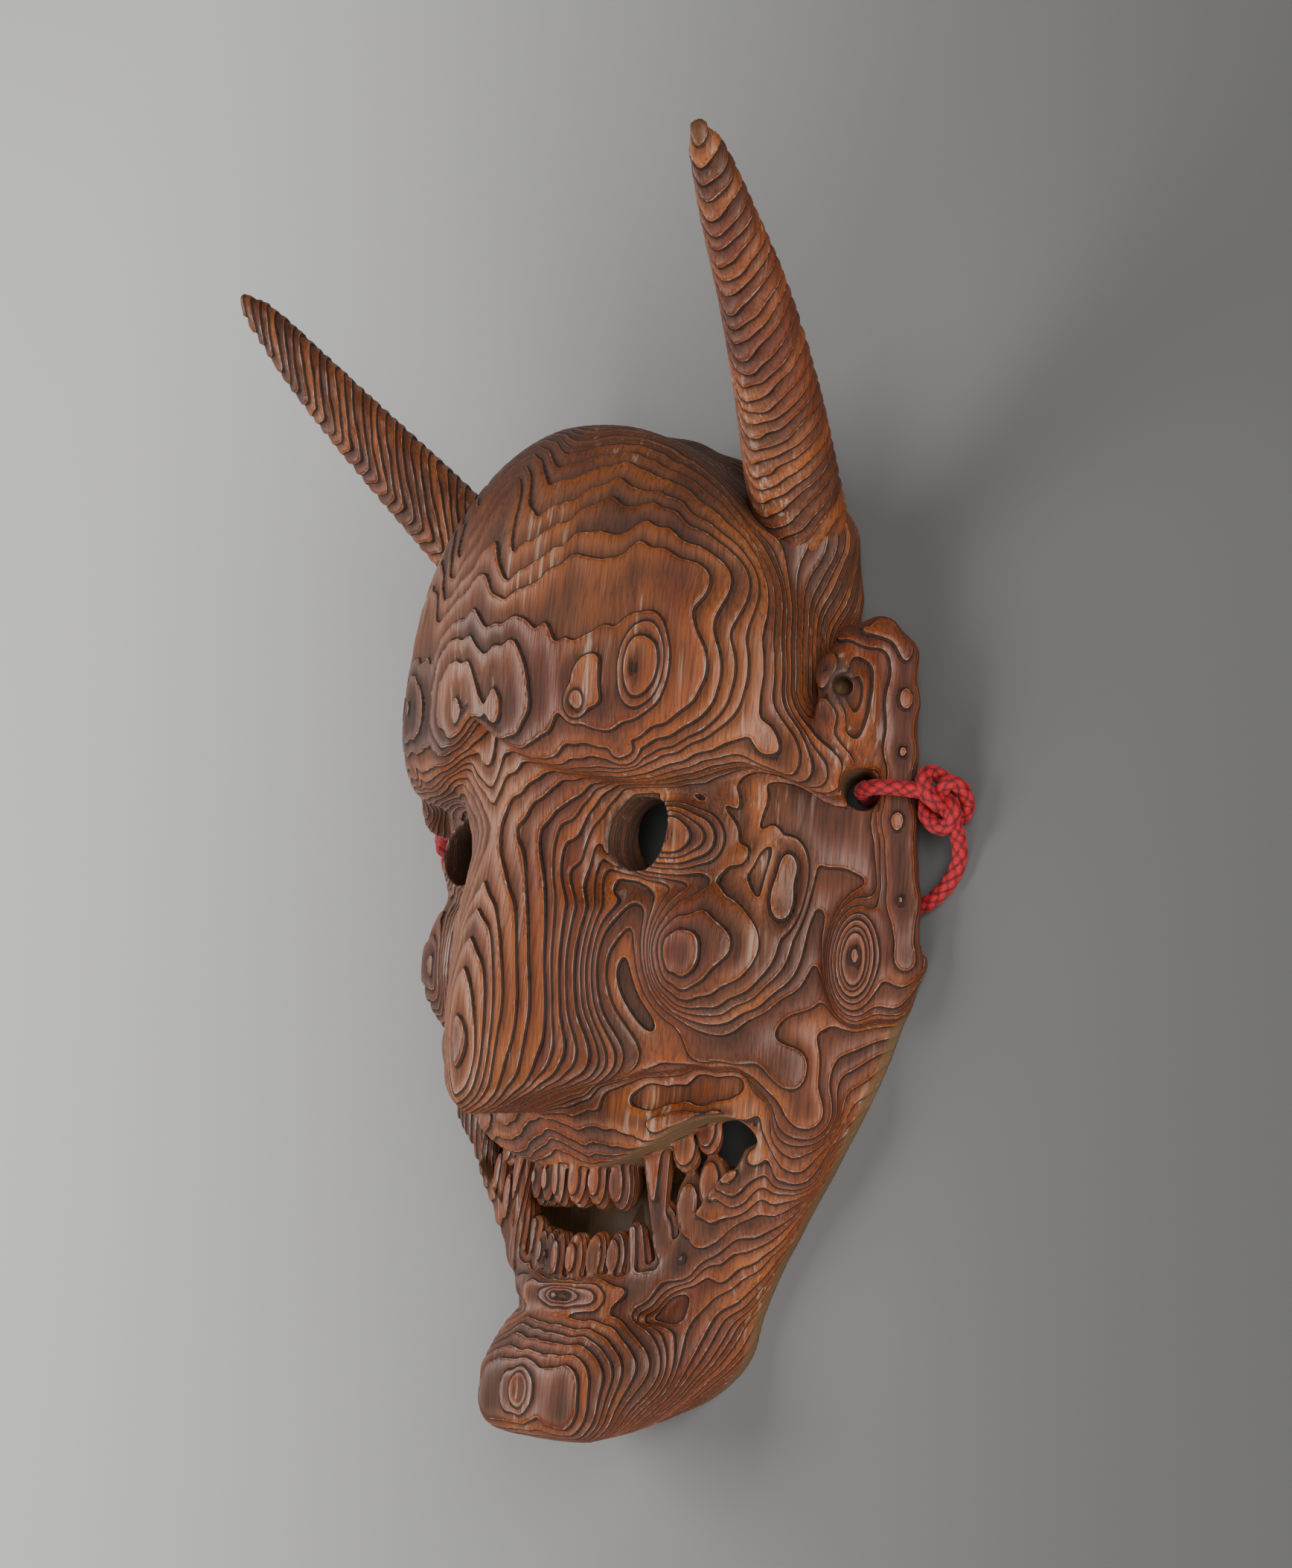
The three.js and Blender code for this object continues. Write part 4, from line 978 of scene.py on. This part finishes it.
class CordSettings(bpy.types.PropertyGroup):
    """The braided cord."""

    diameter: FloatProperty(name="Diameter", description="Across the cord", default=0.0035, unit="LENGTH")
    pitch: FloatProperty(
        name="Braid pitch", description="Length of one crossing of the braid", default=0.0032, unit="LENGTH")
    step: FloatProperty(
        name="Mesh step", description="Length of one step of the mesh", default=0.00035, unit="LENGTH")
    colour: FloatVectorProperty(
        name="Red", description="Colour of the yarn", default=(0.62, 0.001, 0.014), subtype="COLOR")
    # The colour of the painted shade between the yarns
    shade: FloatVectorProperty(
        name="Dark red", description="Colour between the yarns", default=(0.06, 0.0, 0.002), subtype="COLOR")


class StageSettings(bpy.types.PropertyGroup):
    """The floor, the lights and the camera."""

    floor_size: FloatProperty(name="Floor", description="Side of the floor", default=6.0, unit="LENGTH")
    floor_colour: FloatVectorProperty(
        name="Floor colour", description="Colour of the floor", default=(0.56, 0.57, 0.58), subtype="COLOR")
    # The colour of the painted shade on the floor's darker side
    floor_shade: FloatVectorProperty(
        name="Floor shade", description="Colour of the floor's darker side",
        default=(0.125, 0.127, 0.13), subtype="COLOR")
    lens: FloatProperty(name="Lens", description="Focal length", default=66.306, unit="CAMERA")


# Operators

CAMERA_TURN = [
    (0.64086389, 0.07671292, 0.76381189),
    (0.0844678, 0.98190574, -0.16948835),
    (-0.76299323, 0.17313648, 0.62278816),
]
CAMERA_PLACE = (0.5, -0.09513, 0.42382)
LIGHTS = [
    # name, place, size, power and colour; all point a little above the floor's middle
    ("key", (-0.75, 0.05, 0.8), 0.7, 10, (1, 0.97, 0.93)),
    ("fill", (0.95, 0.05, 0.5), 0.8, 12, (1, 0.97, 0.93)),
    ("low", (0.15, -0.95, 0.4), 0.6, 6, (1, 0.98, 0.95)),
]
LIT_PLACE = (0, 0, 0.03)
STUDIO_COLOUR = (1, 0.98, 0.96, 1)
STUDIO_STRENGTH = 0.13


def look_from(matrix, place):
    """A camera's place and turn as one matrix."""
    return Matrix([[*row, p] for row, p in zip(matrix, place)] + [[0, 0, 0, 1]])


class MASK_OT_camera(bpy.types.Operator):
    """Put the camera where the photograph was taken from."""

    bl_idname = "mask.camera"
    bl_label = "Camera"

    def execute(self, context):
        data = bpy.data.cameras.new("camera")
        data.sensor_fit = "VERTICAL"
        data.sensor_height = 36
        data.lens = context.scene.mask_stage.lens
        data.clip_start = 0.01
        camera = bpy.data.objects.new("camera", data)
        camera.matrix_world = look_from(CAMERA_TURN, CAMERA_PLACE)
        context.scene.collection.objects.link(camera)
        context.scene.camera = camera
        return {"FINISHED"}


class MASK_OT_stage(bpy.types.Operator):
    """Lay the floor and set the lights."""

    bl_idname = "mask.stage"
    bl_label = "Stage"

    def execute(self, context):
        settings = context.scene.mask_stage
        half = settings.floor_size / 2
        mesh = bpy.data.meshes.new("floor")
        corners = [(-half, -half, 0), (half, -half, 0), (half, half, 0), (-half, half, 0)]
        mesh.from_pydata(corners, [], [(0, 1, 2, 3)])
        floor = add_object(mesh, floor_material(settings))
        for name, place, size, power, colour in LIGHTS:
            data = bpy.data.lights.new(name, "AREA")
            data.size = size
            data.energy = power
            data.color = colour
            light = bpy.data.objects.new(name, data)
            light.location = place
            light.rotation_euler = (Vector(LIT_PLACE) - Vector(place)).to_track_quat("-Z", "Y").to_euler()
            context.scene.collection.objects.link(light)
        world = bpy.data.worlds.new("studio")
        world.use_nodes = True
        background = world.node_tree.nodes["Background"]
        background.inputs["Color"].default_value = STUDIO_COLOUR
        background.inputs["Strength"].default_value = STUDIO_STRENGTH
        context.scene.world = world
        return {"FINISHED"}


def cedar_material(context):
    """The wood's material, made the first time it is asked for."""
    return bpy.data.materials.get("brushed_cedar") or cedar(context.scene.mask_cedar)


# The cord's course; a point of the strand without a height lies on the ground
CORD_REST = 1.85
STRAND = [
    (86.9, 2.0, 3.4), (86.6, -1.4, 2.2), (85, -5.4), (81.4, -9.2), (76, -11.8), (69, -12.6), (61, -11), (53, -6),
    (46, 2), (40, 12), (31, 20), (19, 22), (8, 17), (1, 8), (-5, -4), (-13, -15), (-25, -21), (-38, -22),
    (-50, -18.6), (-60, -14.4), (-69, -12.6), (-76, -11.8), (-81.4, -9.2), (-85, -5.4), (-86.6, -1.4, 2.2),
    (-86.9, 2.0, 3.4),
]
LOOP = [
    (80.9, 10.8, 13.5), (78.6, 11, 15.4), (75.6, 11, 16.7), (72.2, 11, 16.5), (69.4, 11, 14.8),
    (66.2, 11, 11.1), (63, 11, 7.4), (62.2, 11, 4.9), (63.5, 10.8, 2.7), (65.9, 10.6, 2.1), (70, 10.3, 2),
    (75, 10, 2), (79.4, 9.8, 2.1),
]
KNOT_PLACE = (85.3, 9.2, 6.8)
LEADS = [
    # from a loop's ends and from the strand into the knot
    [(80.6, 10.8, 13.8), (82.6, 10.6, 12.2), (84.4, 10.2, 10), (85.4, 9.5, 7.5)],
    [(79.2, 9.8, 2.1), (81.4, 9.8, 2.6), (83.6, 9.6, 4.2), (85, 9.3, 6.6)],
    [(86.9, 1.8, 3.3), (87.2, 4, 4.6), (86.8, 6.4, 6.3), (85.6, 8.8, 7)],
]
# The knot's closed line, a trefoil, in millimetres: it goes round twice while it winds three times
KNOT_LENGTH = 95
KNOT_REACH = 3.7
KNOT_SWING = 2.3
KNOT_FLATNESS = 0.82
KNOT_TURN = (0.66, 0.75)  # nearly the cosine and sine of its turn about the face's upright
KNOT_LEAN = 0.3

YARNS = 4
BRAID_SIDES = 32
END_RISE = 0.2  # the braid's rise at the middle of a cord's cut end


def swept_braid(name, points, diameter, pitch, material, closed=False):
    """A round braid along evenly spaced points: two families of yarns that pass over and under each other."""
    points = np.asarray(points, float)
    along = np.roll(points, -1, 0) - np.roll(points, 1, 0) if closed else np.gradient(points, axis=0)
    along /= np.linalg.norm(along, axis=1, keepdims=True)
    across = np.empty_like(points)
    side = np.cross(along[0], (0.3, 0.2, 0.93))
    for i, t in enumerate(along):
        side = side - t * side.dot(t)
        side /= np.linalg.norm(side)
        across[i] = side
    other = np.cross(along, across)
    sides = BRAID_SIDES
    turn = np.arange(sides) / sides
    far = np.concatenate([[0], np.cumsum(np.linalg.norm(np.diff(points, axis=0), axis=1))])
    a = YARNS * turn[None] + far[:, None] / pitch
    b = YARNS * turn[None] - far[:, None] / pitch
    over = (np.floor(a) + np.floor(b)) % 2 < 0.5
    width, length = np.where(over, a, b) % 1, np.where(over, b, a) % 1
    rise = np.sin(math.pi * width) ** 0.55 * (0.5 + 0.5 * np.sin(math.pi * length))
    radius = diameter / 2 * (0.78 + 0.22 * rise)
    ring = across[:, None] * np.cos(2 * math.pi * turn)[None, :, None]
    ring = ring + other[:, None] * np.sin(2 * math.pi * turn)[None, :, None]
    skin = (points[:, None] + ring * radius[:, :, None]).reshape(-1, 3)
    rise = rise.ravel()
    count = len(points)
    i, k = np.meshgrid(np.arange(count if closed else count - 1), np.arange(sides), indexing="ij")
    after, beside = (i + 1) % count, (k + 1) % sides
    quads = np.stack([i * sides + k, i * sides + beside, after * sides + beside, after * sides + k], -1)
    quads = quads.reshape(-1, 4)
    caps = []
    if not closed:
        k = np.arange(sides)
        for row, centre, order in ((0, len(skin), 1), (count - 1, len(skin) + 1, -1)):
            pair = [row * sides + (k + 1) % sides, row * sides + k][::order]
            caps.append(np.stack([np.full(sides, centre), *pair], -1))
        skin = np.vstack([skin, points[0], points[-1]])
        rise = np.append(rise, (END_RISE, END_RISE))
    triangles = np.vstack([quads[:, :3], *caps, quads[:, [0, 2, 3]]])
    return add_object(mesh_of(name, skin, triangles, {"rise": rise}), material)


def knot_line(step):
    """The right knot's closed line."""
    t = np.linspace(0, 2 * math.pi, round(KNOT_LENGTH / step), endpoint=False)
    out = KNOT_REACH + KNOT_SWING * np.cos(3 * t)
    u, v, w = KNOT_FLATNESS * out * np.cos(2 * t), out * np.sin(2 * t), KNOT_SWING * np.sin(3 * t)
    small, large = KNOT_TURN
    return np.stack([u * small + w * large, v, w * small - u * large + v * KNOT_LEAN], 1) + KNOT_PLACE


def at_rest(points):
    """The points with the resting height put in where none is given."""
    return [(*p, CORD_REST) if len(p) == 2 else p for p in points]


class MASK_OT_cord(bpy.types.Operator):
    """Lay the braided cord behind the face, loop it through the ears and knot it."""

    bl_idname = "mask.cord"
    bl_label = "Cord"

    def execute(self, context):
        settings = context.scene.mask_cord
        material = cord_material(settings)
        diameter, pitch = settings.diameter / MM, settings.pitch / MM
        step = settings.step / MM * 1
        route, length = evenly(at_rest(STRAND), step)
        strand = swept_braid("cord_strand", route, diameter, pitch, material)
        pieces = []
        for side, name in ((1, "right"), (-1, "left")):
            mirror = (side, 1, 1)
            course, _ = evenly(LOOP, step)
            loop = swept_braid("loop_" + name, course * mirror, diameter, pitch, material)
            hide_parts("cord_loop_" + name)
            knot = swept_braid("knot_" + name, knot_line(step) * mirror, diameter, pitch, material, closed=True)
            ends = []
            for place, lead in enumerate(LEADS, 1):
                course, _ = evenly(lead, step)
                label = "lead_%s_%d" % (name, place)
                ends.append(swept_braid(label, course * mirror, diameter, pitch, material))
            for piece in (knot, *ends):
                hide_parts("cord_knot_" + name)
            pieces += [loop, knot, *ends]
        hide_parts("cord")
        for piece in (strand, *pieces):
            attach(piece, "root")
        tuple(in_metres(route[0]).tolist())
        in_metres(route[::6]).tolist()
        return {"FINISHED"}


BACK_SHARE = 0.12  # the share of its faces that the plain back keeps
ZONES = [
    # the front's pieces, and the heights between which each one lies
    ("mask_jaw", -200, -55), ("mask_cheeks", -55, 12), ("mask_brow", 12, 46), ("mask_crown", 46, 200),
]


class MASK_OT_carving(bpy.types.Operator):
    """Carve the mask's face and its hollow back, and brush the growth rings out."""

    bl_idname = "mask.carving"
    bl_label = "Carving"

    def execute(self, context):
        settings = context.scene.mask_cedar
        cell = settings.cell / MM * 1
        half = math.ceil(HIGH[0] / cell)
        outer = sampled(outside, (0, LOW[1], LOW[2]), (half * cell, HIGH[1], HIGH[2]), cell)
        values = sampled(mask_shape, (0, LOW[1], LOW[2]), (half * cell, HIGH[1], HIGH[2]), cell)
        values = np.concatenate([values[:0:-1], values])
        outer = np.concatenate([outer[:0:-1], outer])
        low = (-half * cell, LOW[1], LOW[2])
        spacing, depth, edge = settings.ring_spacing / MM, settings.relief_depth / MM, settings.edge_width / MM

        def inner(p):
            """How surely a place belongs to the hollow and not to the carved front."""
            at = [np.clip(np.round((p[:, a] - low[a]) / cell).astype(int), 0, outer.shape[a] - 1) for a in range(3)]
            return np.clip((-0.9 - outer[at[0], at[1], at[2]]) / 0.8, 0, 1)

        made = brushed(values, low, cell, lambda p: np.maximum(smooth_places(p), inner(p)), spacing, depth, edge)
        points, skin, normals, faces = surface(made, values, low, cell)
        hollowed, rolls = inner(skin), hair(skin)
        # Painted shade inside the eye bores: their walls are darkened through the dark attribute
        walls = eye_walls(skin) * (skin[:, 2] > 20)
        ring, turn = ring_slope(skin, normals, spacing)
        attributes = {
            "ring": ring,
            "width": ring_width(turn),
            "plain": np.maximum(smooth_places(skin), hollowed) * (1 - rolls) * (1 - walls),
            # Dark: the hair rolls, painted shade in the eye bores and the ear pockets, and darker towards the crown
            "dark": np.maximum.reduce([rolls, walls * 0.8, ear_pocket_shade(skin), crown_darkening(skin)]),
        }
        mesh = thinned(mesh_of("mask", points, faces, attributes), hollowed > 0.9, BACK_SHARE)
        points, faces, values = arrays_of(mesh, attributes)
        bpy.data.meshes.remove(mesh)
        normals = point_normals(points, faces)
        middle = points[faces].mean(1)
        back = values["plain"][faces].min(1) > 0.9
        zones = {"mask_back": back}
        for name, low_y, high_y in ZONES:
            zones[name] = ~back & (middle[:, 1] >= low_y) & (middle[:, 1] < high_y)
        for name, keep in zones.items():
            piece = split_off(name, points, faces, keep, values, normals, cedar_material(context))
            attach(piece, "root")
            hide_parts("mask")
        return {"FINISHED"}


class MASK_OT_horns(bpy.types.Operator):
    """Make the two horns with the rings of the same trunk."""

    bl_idname = "mask.horns"
    bl_label = "Horns"

    def execute(self, context):
        settings = context.scene.mask_cedar
        cell = settings.cell / MM * 1
        values = sampled(horn_shape, HORN_LOW, HORN_HIGH, cell)
        spacing, depth = settings.horn_ring_spacing / MM, settings.relief_depth / MM * HORN_RELIEF
        edge = settings.edge_width / MM
        for side, name in ((1, "horn_right"), (-1, "horn_left")):
            grid, start = values, HORN_LOW
            if side < 0:
                grid = np.ascontiguousarray(values[::-1])
                start = (-(HORN_LOW[0] + (values.shape[0] - 1) * cell), *HORN_LOW[1:])
            made = brushed(grid, start, cell, brushed_all_over, spacing, depth, edge, horn_ring_number)
            points, skin, normals, faces = surface(made, grid, start, cell)
            ring, turn = ring_slope(skin, normals, spacing, horn_ring_number)
            mesh = mesh_of(name + "_carving", points, faces, {
                "ring": ring,
                "width": ring_width(turn),
                "plain": bare_tip(skin, side),
                "dark": np.zeros(len(points)),
            })
            piece = add_object(mesh, cedar_material(context))
            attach(piece, "root")
            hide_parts(name)
        return {"FINISHED"}


class MASK_PT_panel(bpy.types.Panel):
    """Shows the mask's settings and the buttons that build it."""

    bl_idname = "MASK_PT_panel"
    bl_label = "Carved Mask"
    bl_space_type = "VIEW_3D"
    bl_region_type = "UI"
    bl_category = "Mask"

    def draw(self, context):
        for settings in (context.scene.mask_cedar, context.scene.mask_cord, context.scene.mask_stage):
            for label in settings.__annotations__:
                self.layout.prop(settings, label)
        for operator in OPERATORS:
            self.layout.operator(operator.bl_idname)


OPERATORS = (MASK_OT_camera, MASK_OT_cord, MASK_OT_carving, MASK_OT_horns, MASK_OT_stage)
CLASSES = (CedarSettings, CordSettings, StageSettings, *OPERATORS, MASK_PT_panel)


def register():
    for item in CLASSES:
        bpy.utils.register_class(item)
    bpy.types.Scene.mask_cedar = PointerProperty(type=CedarSettings)
    bpy.types.Scene.mask_cord = PointerProperty(type=CordSettings)
    bpy.types.Scene.mask_stage = PointerProperty(type=StageSettings)


def unregister():
    del bpy.types.Scene.mask_cedar
    del bpy.types.Scene.mask_cord
    del bpy.types.Scene.mask_stage
    for item in reversed(CLASSES):
        bpy.utils.unregister_class(item)


def main():
    register()
    for operator in OPERATORS:
        group, name = operator.bl_idname.split(".")
        getattr(getattr(bpy.ops, group), name)()


if __name__ == "__main__":
    main()
